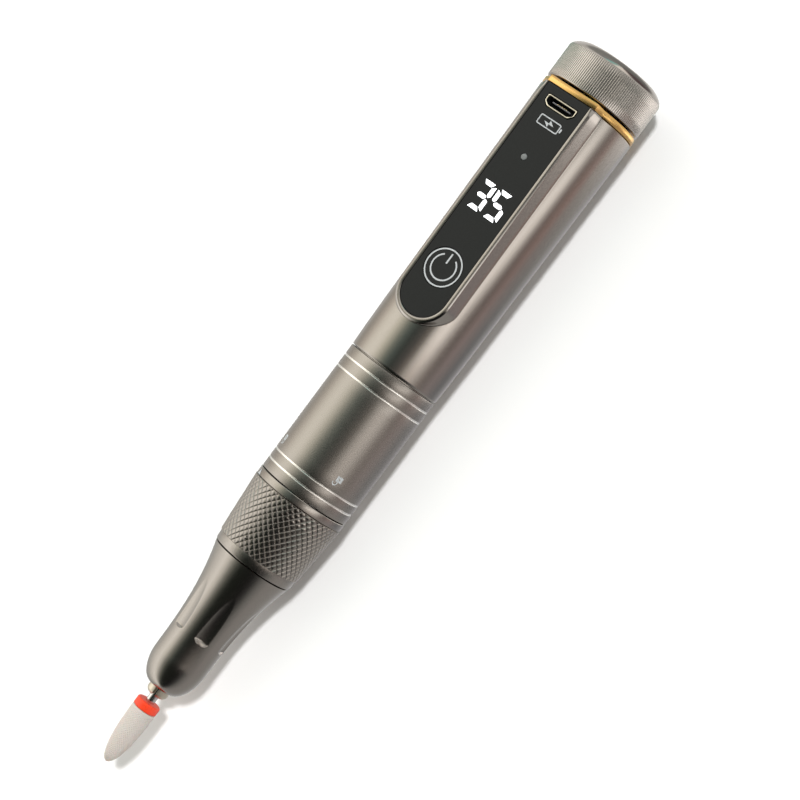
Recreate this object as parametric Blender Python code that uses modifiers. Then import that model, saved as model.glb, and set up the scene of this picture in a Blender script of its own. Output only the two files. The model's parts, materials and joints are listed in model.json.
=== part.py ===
"""A cordless nail drill in pen form, lying down with its control panel up.

The pen's axis runs along X: the bit points to -X and the speed dial to +X. A place along
the pen is a station, in millimetres behind the front edge of the nose. Heights and
sideways places are in millimetres from the pen's axis. to_x() and mm() give metres.
"""

import math

import bmesh
import bpy
from mathutils import Matrix

# Overall stations
BIT_TIP = -21.8
NOSE_REAR = 36.1
RING_FRONT, RING_REAR = 36.45, 56.1
COLLAR_FRONT, COLLAR_REAR = 56.45, 91.2
BODY_FRONT, BODY_REAR = 91.55, 165.8
TRIM_FRONT, TRIM_REAR = 166.1, 167.4
DIAL_FRONT, DIAL_END = 168.2, 178.95

# Fits
GAP = 0.3
SHELL_SIDES = 40
INNER_SIDES = 20
SMALL_SIDES = 12

# Outer shells
DIAL_RADIUS = 12.72
DIAL_LIP = 1.4
DIAL_BORE = 11.0
DIAL_END_WALL = 2.0
DIAL_HUB_RADIUS = 4.2
BODY_FRONT_RADIUS, BODY_REAR_RADIUS = 11.85, 12.765
BODY_SWELL, BODY_FLARE = 0.21, 7.0
TRIM_RADIUS = 12.7
BODY_BORE = 10.95
COLLAR_RADIUS = 11.83
COLLAR_BORE = 9.9
SPIGOT_RADIUS = BODY_BORE - GAP
SPIGOT_REAR = 98.0
RING_BORE = 9.4
RING_RADIUS, KNURL_FRONT_RADIUS = 12.0, 10.85
KNURL_FRONT, KNURL_REAR = 38.77, 54.04
NOSE_WAIST, NOSE_WAIST_STATION, NOSE_REAR_RADIUS = 6.95, 7.7, 10.3
NOSE_TIP_RADIUS = 3.4
NOSE_FLARE = 2.6
NOSE_MOUTH, NOSE_MOUTH_REAR = 3.05, 5.2
NOSE_BORE, NOSE_BORE_REAR, NOSE_SEAT_RADIUS = 5.6, 29.5, 7.8
FLUTES = 6
FLUTE_RADIUS, FLUTE_DEPTH, FLUTE_FRONT, FLUTE_REAR, FLUTE_STRETCH = 3.2, 0.6, 13.0, 26.0, 2.05

# The raised land and its panel
LAND_TOP = 12.8
LAND_SLOPE, LAND_LEVEL_STATION = 0.0147, 115.0
LAND_HALF_WIDTH = 7.4
LAND_DRAFT = 1.1
LAND_FRONT = 103.4
WINDOW_HALF_WIDTH = 6.3
WINDOW_FRONT = 104.7
PANEL_TOP, PANEL_THICKNESS = 12.65, 1.2
BUTTON_STATION, BUTTON_RADIUS, BUTTON_TRAVEL = 117.66, 4.8, 0.4
DISPLAY_STATION = 135.98
INDICATOR_STATION, INDICATOR_RADIUS = 148.5, 0.8
INLET_STATION, INLET_WIDTH, INLET_DEPTH, INLET_WALL = 162.2, 8.4, 2.7, 0.35
INLET_CORNER = 0.9
TONGUE_OFFSET, TONGUE_HALF_DEPTH, TONGUE_HALF_WIDTH, TONGUE_SET_BACK = 0.25, 0.3, 2.6, 0.8
SWITCH_RADIUS, SWITCH_TOP, SWITCH_STEM_RADIUS = 3.2, 9.9, 1.7
BUTTON_FLANGE, BUTTON_FLANGE_THICKNESS = 0.6, 0.4
INDICATOR_FOOT_RADIUS, INDICATOR_FOOT_HEIGHT = 1.5, 1.2

# Board, carrier and cell
BOARD_BOTTOM, BOARD_THICKNESS, BOARD_HALF_WIDTH = 7.0, 1.0, 7.0
BOARD_TOP = BOARD_BOTTOM + BOARD_THICKNESS
BOARD_FRONT, BOARD_REAR = 104.0, 165.4
CHASSIS_FRONT, CHASSIS_REAR = 100.0, 165.6
CELL_RADIUS, CELL_LENGTH, CELL_FRONT, CELL_HEIGHT = 7.1, 50.5, 104.6, -2.4
CELL_BAY_REAR, POT_BAY_FRONT = 157.5, 156.0
TAB_THICKNESS, TAB_HALF_WIDTH, TAB_BELOW, TAB_ABOVE, TAB_FRONT_GAP = 0.4, 2.0, 2.5, 4.0, 0.7
DISPLAY_HALF_LENGTH, DISPLAY_HALF_WIDTH, DISPLAY_HEIGHT = 5.0, 5.6, 3.0
BOARD_SCREWS = ((107.0, 5.2), (159.5, -5.2))
BOARD_SCREW_RADIUS, BOARD_SCREW_HEAD, BOARD_SCREW_HEIGHT, BOARD_SCREW_FOOT = 0.5, 0.9, 0.6, 3.5
BOARD_HOLE_RADIUS, BOSS_HOLE_RADIUS, BOSS_HOLE_FOOT = 0.85, 0.8, 3.0
CHANNEL_HALF_WIDTH = 4.2
TAIL_SCREW_ACROSS, TAIL_SCREW_HEIGHT, TAIL_SCREW_FRONT = 8.0, -3.0, 161.0
TAIL_SCREW_RADIUS, TAIL_SCREW_HEAD, TAIL_SCREW_HEAD_LENGTH = 0.7, 1.4, 0.7
TAIL_HOLE_RADIUS, TAIL_BOSS_FRONT = 1.0, 159.5
POT_RADIUS, POT_FRONT, POT_REAR = 6.0, 158.2, 163.5
BUSHING_RADIUS, BUSHING_REAR, POT_SHAFT_RADIUS, POT_WALL = 3.2, 169.9, 2.0, 1.5
NUT_RADIUS, NUT_LENGTH = 4.9, 1.4

# Motor and drive
MOTOR_RADIUS, MOTOR_FRONT, MOTOR_REAR = 9.6, 64.0, 90.0
ROTOR_RADIUS, ROTOR_FRONT, ROTOR_REAR = 6.0, 69.0, 84.0
ROTOR_SHAFT_RADIUS, ROTOR_SHAFT_FRONT, ROTOR_SHAFT_REAR = 1.0, 57.5, 93.0
MOTOR_WALL, MOTOR_FLOOR, MOTOR_HUB_RADIUS = 0.7, 1.2, 2.8
MAGNET_FRONT, MAGNET_REAR = 68.0, 85.0
END_CAP_REAR = 94.0
BUSHING_FRONT_STATIONS, BUSHING_REAR_STATIONS = (63.0, 66.0), (91.0, 93.6)
BRUSH_STATIONS, BRUSH_INNER, BRUSH_OUTER, BRUSH_HALF_HEIGHT = (86.8, 88.8), 3.4, 5.6, 1.0
COMMUTATOR_FRONT, COMMUTATOR_REAR, COMMUTATOR_RADIUS = 86.0, 89.6, 3.05
COUPLING_RADIUS, COUPLING_REAR = 2.4, 61.0
DRIVE_TONGUE_REACH, DRIVE_TONGUE_HALF_WIDTH, DRIVE_TONGUE_HALF_HEIGHT = 1.6, 0.6, 1.9
WIRE_RADIUS = 0.45
WIRE_ROUTE = ((94.5, 4.0, 4.2), (97, 4.0, 5.0), (100, 3.6, 5.7), (104, 2.9, 6.0), (107, 2.5, 6.1))
SPINDLE_RADIUS, SPINDLE_BORE, SPINDLE_FRONT, SPINDLE_REAR = 2.5, 1.5, 9.3, 56.3
SPINDLE_BORE_REAR = 28.0
DRIVE_SLOT_DEPTH, DRIVE_SLOT_HALF_WIDTH = 2.0, 0.9
COLLET_RADIUS, COLLET_BORE, COLLET_FRONT, COLLET_NIP = 2.6, 1.45, -2.1, 0.4
COLLET_SHOULDER, COLLET_SLITS, COLLET_SLIT_REAR, COLLET_SLIT_HALF_WIDTH = 4.0, 3, 6.0, 0.2
SHANK_RADIUS = 2.35 / 2
SHANK_FRONT, SHANK_REAR = -15.0, 26.0
GRIT_RING_RADIUS, GRIT_RING_FRONT, GRIT_RING_REAR = 3.15, -6.4, -4.1
HEAD_REAR, HEAD_RADIUS = -6.7, 3.1
HEAD_TAPER, HEAD_ROUNDNESS = 2.6, 0.505

# Lock
HOUSING_RADIUS, HOUSING_BORE = 9.1, 6.5
HOUSING_FRONT, HOUSING_REAR, HOUSING_SPIGOT_RADIUS = 30.0, 61.0, 7.5
SLEEVE_FRONT, SLEEVE_REAR, SLEEVE_RADIUS, SLEEVE_BORE = 44.0, 52.0, 6.2, 4.2
CAM_STATION, CAM_PIN_RADIUS, CAM_TRAVEL, CAM_PIN_HALF_LENGTH = 48.5, 0.8, 1.3, 1.6
CAM_RECESS = 0.9
FRONT_SEAL = (5.5, 7.5, 5.3)
FRONT_BEARING, REAR_BEARING = (9.8, 13.8, 5.3), (38.0, 42.5, 6.2)
CAGE_INSET, RACE_GAP = 0.4, 0.2
SPRING_RADIUS, SPRING_WIRE, SPRING_TURNS = 5.2, 0.45, 5

MIDDLE = (BIT_TIP + DIAL_END) / 2
AXIS_HEIGHT = BODY_REAR_RADIUS * math.cos(math.pi / SHELL_SIDES)

# name: colour, roughness, metallic
FINISHES = {
    "anodised_aluminium": ((0.36, 0.34, 0.31), 0.35, 1.0),
    "gold_aluminium": ((0.75, 0.48, 0.13), 0.3, 1.0),
    "panel_black": ((0.018, 0.02, 0.022), 0.35, 0.0),
    "steel": ((0.6, 0.6, 0.6), 0.25, 1.0),
    "dark_plastic": ((0.03, 0.03, 0.03), 0.55, 0.0),
    "board_green": ((0.03, 0.16, 0.07), 0.5, 0.0),
    "cell_wrap": ((0.05, 0.22, 0.45), 0.45, 0.0),
    "brass": ((0.7, 0.52, 0.22), 0.35, 1.0),
    "copper": ((0.7, 0.33, 0.18), 0.4, 1.0),
    "magnet": ((0.1, 0.1, 0.11), 0.6, 0.0),
    "rubber": ((0.02, 0.02, 0.02), 0.8, 0.0),
    "grit_orange": ((0.85, 0.09, 0.03), 0.45, 0.0),
    "ceramic": ((0.72, 0.66, 0.58), 0.5, 0.0),
    "wire_red": ((0.6, 0.03, 0.02), 0.5, 0.0),
    "wire_black": ((0.02, 0.02, 0.02), 0.5, 0.0),
}


def mm(length):
    return length / 1000


def to_x(station):
    return mm(station - MIDDLE)


def clear_scene():
    for obj in list(bpy.data.objects):
        bpy.data.objects.remove(obj, do_unlink=True)


def make_collection(name):
    made = bpy.data.collections.new(name)
    bpy.context.scene.collection.children.link(made)
    return made


def make_finish(name):
    colour, roughness, metallic = FINISHES[name]
    finish = bpy.data.materials.new(name)
    finish.use_nodes = True
    shader = finish.node_tree.nodes["Principled BSDF"]
    shader.inputs["Base Color"].default_value = (*colour, 1)
    shader.inputs["Roughness"].default_value = roughness
    shader.inputs["Metallic"].default_value = metallic
    finish.diffuse_color = (*colour, 1)
    return finish


clear_scene()
PARTS = make_collection("nail_drill")
CUTTERS = make_collection("cutters")
CUTTERS.hide_render = True
MATERIALS = {name: make_finish(name) for name in FINISHES}


def make_holder(name, parent=None):
    """An empty on the pen's axis, which carries one rigid group of pieces."""
    holder = bpy.data.objects.new(name, None)
    holder.empty_display_size = mm(10)
    PARTS.objects.link(holder)
    if parent:
        holder.parent = parent
    else:
        holder.location.z = mm(AXIS_HEIGHT)
    return holder


HOUSING = make_holder("housing")
SPINDLE = make_holder("spindle", HOUSING)
BIT = make_holder("bit", SPINDLE)
ROTOR = make_holder("rotor", SPINDLE)
LOCK = make_holder("lock", HOUSING)
RELEASE = make_holder("release", HOUSING)
DIAL = make_holder("dial", HOUSING)


def place(obj, holder, finish):
    """Links a piece to its group with its material, or a cutter, which has no material."""
    obj.parent = holder
    if finish:
        obj.data.materials.append(MATERIALS[finish])
        PARTS.objects.link(obj)
    else:
        obj.hide_render = True
        obj.display_type = "WIRE"
        CUTTERS.objects.link(obj)
    return obj


def smooth(mesh):
    mesh.shade_smooth()
    mesh.set_sharp_from_angle(angle=math.radians(35))


def lathe(name, profile, sides, solid):
    """A Screw about the object's own Z. The profile's (height, radius) points run down the
    outside and, on a ring, back up the bore. A solid one starts and ends on the axis."""
    mesh = bpy.data.meshes.new(name)
    count = len(profile)
    edges = [(i, i + 1) for i in range(count - 1)]
    if not solid:
        edges.append((count - 1, 0))
    mesh.from_pydata([(radius, 0, height) for height, radius in profile], edges, [])
    obj = bpy.data.objects.new(name, mesh)
    screw = obj.modifiers.new("turn", "SCREW")
    screw.steps = screw.render_steps = sides
    screw.use_merge_vertices = True
    screw.merge_threshold = 0.00001
    screw.use_smooth_shade = True
    return obj


def turned(name, profile, finish=None, holder=HOUSING, sides=INNER_SIDES, solid=False):
    """A lathe shape on the pen's axis, from (station, radius) points. A flat faces down."""
    obj = lathe(name, [(to_x(s), mm(r)) for s, r in profile], sides, solid)
    obj.rotation_mode = "ZYX"
    obj.rotation_euler = (0, math.pi / 2, math.pi / sides)
    return place(obj, holder, finish)


def tube(name, front, rear, outer, bore, finish=None, holder=HOUSING, sides=INNER_SIDES):
    """A plain tube or washer on the pen's axis."""
    profile = [(rear, outer), (front, outer), (front, bore), (rear, bore)]
    return turned(name, profile, finish, holder, sides)


def rod(name, front, rear, radius, finish=None, holder=HOUSING, sides=INNER_SIDES):
    """A plain solid cylinder on the pen's axis."""
    profile = [(rear, 0), (rear, radius), (front, radius), (front, 0)]
    return turned(name, profile, finish, holder, sides, solid=True)


def upright(name, profile, station, across=0, finish=None, sides=INNER_SIDES, solid=True):
    """A lathe shape about a vertical axis, from (height, radius) points."""
    obj = lathe(name, [(mm(h), mm(r)) for h, r in profile], sides, solid)
    obj.location = (to_x(station), mm(across), 0)
    return place(obj, HOUSING, finish)


def post(name, station, across, low, high, radius, finish=None, sides=INNER_SIDES):
    profile = [(high, 0), (high, radius), (low, radius), (low, 0)]
    return upright(name, profile, station, across, finish, sides)


def from_bmesh(name, bm, finish, holder):
    bmesh.ops.recalc_face_normals(bm, faces=bm.faces)
    mesh = bpy.data.meshes.new(name)
    bm.to_mesh(mesh)
    bm.free()
    smooth(mesh)
    return place(bpy.data.objects.new(name, mesh), holder, finish)


def block(name, stations, across, heights, finish=None, holder=HOUSING):
    """A box between two stations, two sideways places and two heights."""
    low = (to_x(stations[0]), mm(across[0]), mm(heights[0]))
    high = (to_x(stations[1]), mm(across[1]), mm(heights[1]))
    middle = [(a + b) / 2 for a, b in zip(low, high)]
    size = [b - a for a, b in zip(low, high)]
    bm = bmesh.new()
    placed = Matrix.Translation(middle) @ Matrix.Diagonal((*size, 1))
    bmesh.ops.create_cube(bm, size=1, matrix=placed)
    return from_bmesh(name, bm, finish, holder)


def prism(name, outline, low, high, finish=None, holder=HOUSING):
    """An outline of (station, across) points, raised from one height to another."""
    curve = bpy.data.curves.new(name, "CURVE")
    curve.dimensions = "2D"
    curve.fill_mode = "BOTH"
    curve.extrude = mm(high - low) / 2
    spline = curve.splines.new("POLY")
    spline.points.add(len(outline) - 1)
    for point, (station, across) in zip(spline.points, outline):
        point.co = (to_x(station), mm(across), 0, 1)
    spline.use_cyclic_u = True
    guide = bpy.data.objects.new(name + "_outline", curve)
    CUTTERS.objects.link(guide)
    graph = bpy.context.evaluated_depsgraph_get()
    mesh = bpy.data.meshes.new_from_object(guide.evaluated_get(graph))
    bpy.data.objects.remove(guide)
    bm = bmesh.new()
    bm.from_mesh(mesh)
    bmesh.ops.remove_doubles(bm, verts=bm.verts, dist=0.000001)
    bmesh.ops.translate(bm, verts=bm.verts, vec=(0, 0, mm(high + low) / 2))
    return from_bmesh(name, bm, finish, holder)


def apply_boolean(target, others, operation):
    for other in others:
        change = target.modifiers.new(other.name, "BOOLEAN")
        change.operation = operation
        change.object = other
        change.solver = "EXACT"
    return target


def cut(target, *cutters):
    return apply_boolean(target, cutters, "DIFFERENCE")


def join(target, *others):
    return apply_boolean(target, others, "UNION")


def u_outline(front, rear, half_width, steps=12):
    """A straight-backed outline with a half-round front, seen from above."""
    centre = front + half_width
    arc = [math.pi / 2 + math.pi * i / steps for i in range(steps + 1)]
    points = [(centre + half_width * math.cos(a), half_width * math.sin(a)) for a in arc]
    return [(rear, half_width), *points, (rear, -half_width)]


def inlet_outline(inset):
    """The micro-USB shape, wide towards the dial and with two cut corners in front."""
    wide = INLET_WIDTH / 2 + inset
    rear = INLET_STATION + INLET_DEPTH / 2 + inset
    front = INLET_STATION - INLET_DEPTH / 2 - inset
    right = [(rear, wide), (INLET_STATION, wide), (front, wide - INLET_CORNER)]
    return right + [(station, -across) for station, across in reversed(right)]


def body_radius(station):
    """The body swells quickly behind the joint, then slowly towards the dial."""
    reach = (station - BODY_FRONT) / (BODY_REAR - BODY_FRONT)
    quick = BODY_SWELL * (1 - math.exp(-(station - BODY_FRONT) / BODY_FLARE))
    return BODY_FRONT_RADIUS + quick + (BODY_REAR_RADIUS - BODY_FRONT_RADIUS - BODY_SWELL) * reach


def rise(station):
    """The land and its panel climb slightly towards the dial."""
    return LAND_SLOPE * (station - LAND_LEVEL_STATION)


def make_land(rear):
    """The raised land: a loft that widens downwards by its draft."""
    bm = bmesh.new()
    rings = []
    for height, spread in ((0, LAND_DRAFT * 2), (9, LAND_DRAFT), (LAND_TOP, 0)):
        outline = u_outline(LAND_FRONT - spread, rear, LAND_HALF_WIDTH + spread)
        climb = 0 if spread else 1
        ring = [(to_x(s), mm(y), mm(height + climb * rise(s))) for s, y in outline]
        rings.append([bm.verts.new(point) for point in ring])
    for lower, upper in zip(rings, rings[1:]):
        for i in range(len(lower)):
            j = (i + 1) % len(lower)
            bm.faces.new((lower[i], lower[j], upper[j], upper[i]))
    bm.faces.new(rings[0])
    bm.faces.new(rings[-1])
    return from_bmesh("land", bm, None, HOUSING)


def make_body_shell():
    stations = [BODY_REAR, 145.0, 125.0, 108.0, 99.0, 95.0, BODY_FRONT]
    outside = [(s, body_radius(s)) for s in stations]
    profile = [(BODY_REAR, 0), *outside, (BODY_FRONT, 0)]
    shell = turned("body_shell", profile, "anodised_aluminium", sides=SHELL_SIDES, solid=True)
    join(shell, make_land(BODY_REAR))
    bore = rod("body_bore", BODY_FRONT - 1, BODY_REAR + 1, BODY_BORE, sides=SHELL_SIDES)
    window_outline = u_outline(WINDOW_FRONT, BODY_REAR + 1, WINDOW_HALF_WIDTH)
    cut(shell, bore, prism("window", window_outline, 2, LAND_TOP + 3))


def make_panel():
    outline = u_outline(WINDOW_FRONT + GAP, BODY_REAR - 0.1, WINDOW_HALF_WIDTH - GAP)
    low, high = PANEL_TOP - PANEL_THICKNESS, PANEL_TOP
    panel = prism("control_panel", outline, low, high, "panel_black")
    for vertex in panel.data.vertices:
        vertex.co.z += LAND_SLOPE * (vertex.co.x - to_x(LAND_LEVEL_STATION))
    low, high = low - 2, high + 2
    button = post("button_hole", BUTTON_STATION, 0, low, high, BUTTON_RADIUS + 0.25)
    lamp = post("lamp_hole", INDICATOR_STATION, 0, low, high, INDICATOR_RADIUS + GAP)
    inlet = prism("inlet_hole", inlet_outline(0.25), low, high)
    cut(panel, button, lamp, inlet)


def make_button():
    top = PANEL_TOP + rise(BUTTON_STATION)
    skirt = top - PANEL_THICKNESS - GAP - LAND_SLOPE * BUTTON_RADIUS
    foot = skirt - BUTTON_FLANGE_THICKNESS
    profile = [
        (top, 0),
        (top, BUTTON_RADIUS),
        (skirt, BUTTON_RADIUS),
        (skirt, BUTTON_RADIUS + BUTTON_FLANGE),
        (foot, BUTTON_RADIUS + BUTTON_FLANGE),
        (foot, 0),
    ]
    upright("power_button", profile, BUTTON_STATION, finish="panel_black", sides=24)
    seat = BOARD_TOP + GAP
    pressed = foot - BUTTON_TRAVEL - GAP
    stem = [(pressed, 0), (pressed, SWITCH_STEM_RADIUS), (SWITCH_TOP, SWITCH_STEM_RADIUS)]
    case = [(SWITCH_TOP, SWITCH_RADIUS), (seat, SWITCH_RADIUS), (seat, 0)]
    upright("power_switch", stem + case, BUTTON_STATION, finish="dark_plastic", sides=SMALL_SIDES)


def make_indicator():
    foot, top = BOARD_TOP + GAP, PANEL_TOP + rise(INDICATOR_STATION)
    shoulder = foot + INDICATOR_FOOT_HEIGHT
    profile = [(top, 0), (top, INDICATOR_RADIUS), (shoulder, INDICATOR_RADIUS)]
    profile += [(shoulder, INDICATOR_FOOT_RADIUS), (foot, INDICATOR_FOOT_RADIUS), (foot, 0)]
    upright("charge_indicator", profile, INDICATOR_STATION, finish="panel_black", sides=SMALL_SIDES)


def make_inlet():
    foot, top = BOARD_TOP + GAP, PANEL_TOP + rise(INLET_STATION)
    floor = foot + 2 * GAP
    shell = prism("usb_socket_shell", inlet_outline(0), foot, top, "brass")
    cut(shell, prism("socket_hollow", inlet_outline(-INLET_WALL), floor, top + 1))
    centre = INLET_STATION + TONGUE_OFFSET
    stations = (centre - TONGUE_HALF_DEPTH, centre + TONGUE_HALF_DEPTH)
    across = (-TONGUE_HALF_WIDTH, TONGUE_HALF_WIDTH)
    heights = (floor + GAP, top - TONGUE_SET_BACK)
    block("usb_socket_tongue", stations, across, heights, "dark_plastic")


def make_board():
    outline = [(BOARD_FRONT, BOARD_HALF_WIDTH), (BOARD_FRONT, -BOARD_HALF_WIDTH)]
    outline += [(BOARD_REAR, -BOARD_HALF_WIDTH), (BOARD_REAR, BOARD_HALF_WIDTH)]
    board = prism("main_board", outline, BOARD_BOTTOM, BOARD_TOP, "board_green")
    foot = BOARD_TOP + GAP
    head = foot + BOARD_SCREW_HEIGHT
    profile = [(head, 0), (head, BOARD_SCREW_HEAD), (foot, BOARD_SCREW_HEAD), (foot, BOARD_SCREW_RADIUS)]
    profile += [(BOARD_SCREW_FOOT, BOARD_SCREW_RADIUS), (BOARD_SCREW_FOOT, 0)]
    for index, (station, across) in enumerate(BOARD_SCREWS, 1):
        name = f"board_hole_{index}"
        cut(board, post(name, station, across, 0, head, BOARD_HOLE_RADIUS, sides=SMALL_SIDES))
        upright(f"board_screw_{index}", profile, station, across, "steel", SMALL_SIDES)
    stations = (DISPLAY_STATION - DISPLAY_HALF_LENGTH, DISPLAY_STATION + DISPLAY_HALF_LENGTH)
    across = (-DISPLAY_HALF_WIDTH, DISPLAY_HALF_WIDTH)
    block("display_module", stations, across, (foot, foot + DISPLAY_HEIGHT), "dark_plastic")


def make_chassis():
    """The plastic carrier: open in front for the cell and above for the board."""
    carrier = rod("chassis", CHASSIS_FRONT, CHASSIS_REAR, SPIGOT_RADIUS, "dark_plastic", sides=32)
    stations = (CHASSIS_FRONT - 1, CHASSIS_REAR + 1)
    lid = block("above_board", stations, (-12, 12), (BOARD_BOTTOM - GAP, 14))
    bay = rod("cell_bay", CHASSIS_FRONT - 1, CELL_BAY_REAR, CELL_RADIUS + GAP, sides=32)
    bay.location.z = mm(CELL_HEIGHT)
    across = (-CHANNEL_HALF_WIDTH, CHANNEL_HALF_WIDTH)
    channel = block("cell_channel", (CHASSIS_FRONT - 1, POT_REAR), across, (0, 8))
    pot_bay = rod("pot_bay", POT_BAY_FRONT, POT_REAR + GAP, POT_RADIUS + GAP, sides=32)
    neck = rod("pot_neck", POT_REAR, CHASSIS_REAR + 1, BUSHING_RADIUS + GAP)
    cut(carrier, lid, bay, channel, pot_bay, neck)
    for index, (station, across) in enumerate(BOARD_SCREWS, 1):
        heights = (BOSS_HOLE_FOOT, BOARD_TOP)
        name = f"boss_hole_{index}"
        cut(carrier, post(name, station, across, *heights, BOSS_HOLE_RADIUS, sides=SMALL_SIDES))
    for index, across in enumerate((-TAIL_SCREW_ACROSS, TAIL_SCREW_ACROSS), 1):
        stations = (TAIL_BOSS_FRONT, CHASSIS_REAR + 1)
        screw_hole = rod(f"tail_boss_{index}", *stations, TAIL_HOLE_RADIUS, sides=SMALL_SIDES)
        cut(carrier, tail_axis(screw_hole, across))


def tail_axis(obj, across):
    """Moves a rod or screw from the pen's axis to a tail screw's."""
    obj.location = (0, mm(across), mm(TAIL_SCREW_HEIGHT))
    return obj


def make_cell():
    rear = CELL_FRONT + CELL_LENGTH
    cell = rod("battery_cell", CELL_FRONT, rear, CELL_RADIUS, "cell_wrap", sides=24)
    cell.location.z = mm(CELL_HEIGHT)
    across = (-TAB_HALF_WIDTH, TAB_HALF_WIDTH)
    heights = (CELL_HEIGHT - TAB_BELOW, CELL_HEIGHT + TAB_ABOVE)
    front = CELL_FRONT - TAB_FRONT_GAP
    for name, station in (("battery_tab_front", front), ("battery_tab_rear", rear + GAP)):
        block(name, (station, station + TAB_THICKNESS), across, heights, "steel")


def make_tail():
    """The gold plate with the body's outline, its screws, and the speed potentiometer."""
    plate = rod(
        "tail_trim_ring", TRIM_FRONT, TRIM_REAR, TRIM_RADIUS, "gold_aluminium", sides=SHELL_SIDES
    )
    across = (-LAND_HALF_WIDTH, LAND_HALF_WIDTH)
    flat = block("tail_flat", (TRIM_FRONT, TRIM_REAR), across, (0, LAND_TOP))
    bushing_hole = rod("tail_hole", TRIM_FRONT - 1, TRIM_REAR + 1, BUSHING_RADIUS + GAP)
    join(plate, flat)
    cut(plate, bushing_hole)
    seat = TRIM_REAR + GAP
    head = seat + TAIL_SCREW_HEAD_LENGTH
    profile = [(head, 0), (head, TAIL_SCREW_HEAD), (seat, TAIL_SCREW_HEAD), (seat, TAIL_SCREW_RADIUS)]
    profile += [(TAIL_SCREW_FRONT, TAIL_SCREW_RADIUS), (TAIL_SCREW_FRONT, 0)]
    for index, across in enumerate((-TAIL_SCREW_ACROSS, TAIL_SCREW_ACROSS), 1):
        stations = (TRIM_FRONT - 1, TRIM_REAR + 1)
        hole = rod(f"tail_screw_hole_{index}", *stations, TAIL_HOLE_RADIUS, sides=SMALL_SIDES)
        cut(plate, tail_axis(hole, across))
        name = f"tail_screw_{index}"
        tail_axis(turned(name, profile, "steel", sides=SMALL_SIDES, solid=True), across)

    bore = POT_SHAFT_RADIUS + GAP
    pot = rod("potentiometer_body", POT_FRONT, POT_REAR, POT_RADIUS, "dark_plastic")
    join(pot, rod("pot_bushing", POT_REAR - 1, BUSHING_REAR, BUSHING_RADIUS))
    cut(pot, rod("pot_bore", POT_FRONT + POT_WALL, BUSHING_REAR + 1, bore))
    nut = rod("potentiometer_nut", seat, seat + NUT_LENGTH, NUT_RADIUS, "brass", sides=6)
    cut(nut, rod("nut_hole", seat - 1, BUSHING_REAR, BUSHING_RADIUS + GAP))


def make_dial():
    lip = DIAL_RADIUS - DIAL_LIP
    floor = DIAL_END - DIAL_END_WALL
    hub_front, hub_floor = BUSHING_REAR + GAP, floor - 0.5
    profile = [
        (DIAL_END, 0),
        (DIAL_END, lip),
        (DIAL_END - 0.3 * DIAL_LIP, lip + 0.7 * DIAL_LIP),
        (DIAL_END - DIAL_LIP, DIAL_RADIUS),
        (DIAL_FRONT, DIAL_RADIUS),
        (DIAL_FRONT, DIAL_BORE),
        (floor, DIAL_BORE),
        (floor, DIAL_HUB_RADIUS),
        (hub_front, DIAL_HUB_RADIUS),
        (hub_front, POT_SHAFT_RADIUS + GAP),
        (hub_floor, POT_SHAFT_RADIUS + GAP),
        (hub_floor, 0),
    ]
    turned("speed_dial", profile, "anodised_aluminium", DIAL, SHELL_SIDES, solid=True)
    shaft_front = POT_FRONT + POT_WALL + GAP
    shaft_rear = hub_floor - GAP
    rod("potentiometer_shaft", shaft_front, shaft_rear, POT_SHAFT_RADIUS, "steel", DIAL)


def make_collar():
    edge = 0.2
    profile = [
        (SPIGOT_REAR, SPIGOT_RADIUS),
        (COLLAR_REAR, SPIGOT_RADIUS),
        (COLLAR_REAR, COLLAR_RADIUS - edge),
        (COLLAR_REAR - edge, COLLAR_RADIUS),
        (COLLAR_FRONT + edge, COLLAR_RADIUS),
        (COLLAR_FRONT, COLLAR_RADIUS - edge),
        (COLLAR_FRONT, COLLAR_BORE),
        (SPIGOT_REAR, COLLAR_BORE),
    ]
    turned("collar_sleeve", profile, "anodised_aluminium", sides=SHELL_SIDES)


def make_lock_ring():
    recess = RING_BORE + CAM_RECESS
    reach = CAM_PIN_RADIUS + GAP
    profile = [
        (RING_REAR, RING_RADIUS - 0.2),
        (KNURL_REAR, RING_RADIUS),
        (KNURL_FRONT, KNURL_FRONT_RADIUS),
        (KNURL_FRONT - 0.2, KNURL_FRONT_RADIUS - 0.45),
        (RING_FRONT, KNURL_FRONT_RADIUS - 0.5),
        (RING_FRONT, RING_BORE),
        (CAM_STATION - reach, RING_BORE),
        (CAM_STATION - reach, recess),
        (CAM_STATION + reach + CAM_TRAVEL, recess),
        (CAM_STATION + reach + CAM_TRAVEL, RING_BORE),
        (RING_REAR, RING_BORE),
    ]
    turned("lock_ring", profile, "anodised_aluminium", LOCK, SHELL_SIDES)


def make_lock_housing():
    """The fixed sleeve inside nose, ring and collar, slotted for the two cam pins."""
    rear_spigot = COLLAR_BORE - GAP
    profile = [
        (HOUSING_REAR, rear_spigot),
        (COLLAR_FRONT, rear_spigot),
        (COLLAR_FRONT, HOUSING_RADIUS),
        (NOSE_REAR + GAP, HOUSING_RADIUS),
        (NOSE_REAR + GAP, HOUSING_SPIGOT_RADIUS),
        (HOUSING_FRONT, HOUSING_SPIGOT_RADIUS),
        (HOUSING_FRONT, HOUSING_BORE),
        (HOUSING_REAR, HOUSING_BORE),
    ]
    housing = turned("lock_housing", profile, "steel", sides=32)
    reach = CAM_PIN_RADIUS + GAP
    stations = (CAM_STATION - reach, CAM_STATION + CAM_TRAVEL + reach)
    cut(housing, block("cam_slots", stations, (-12, 12), (-reach, reach)))


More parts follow.
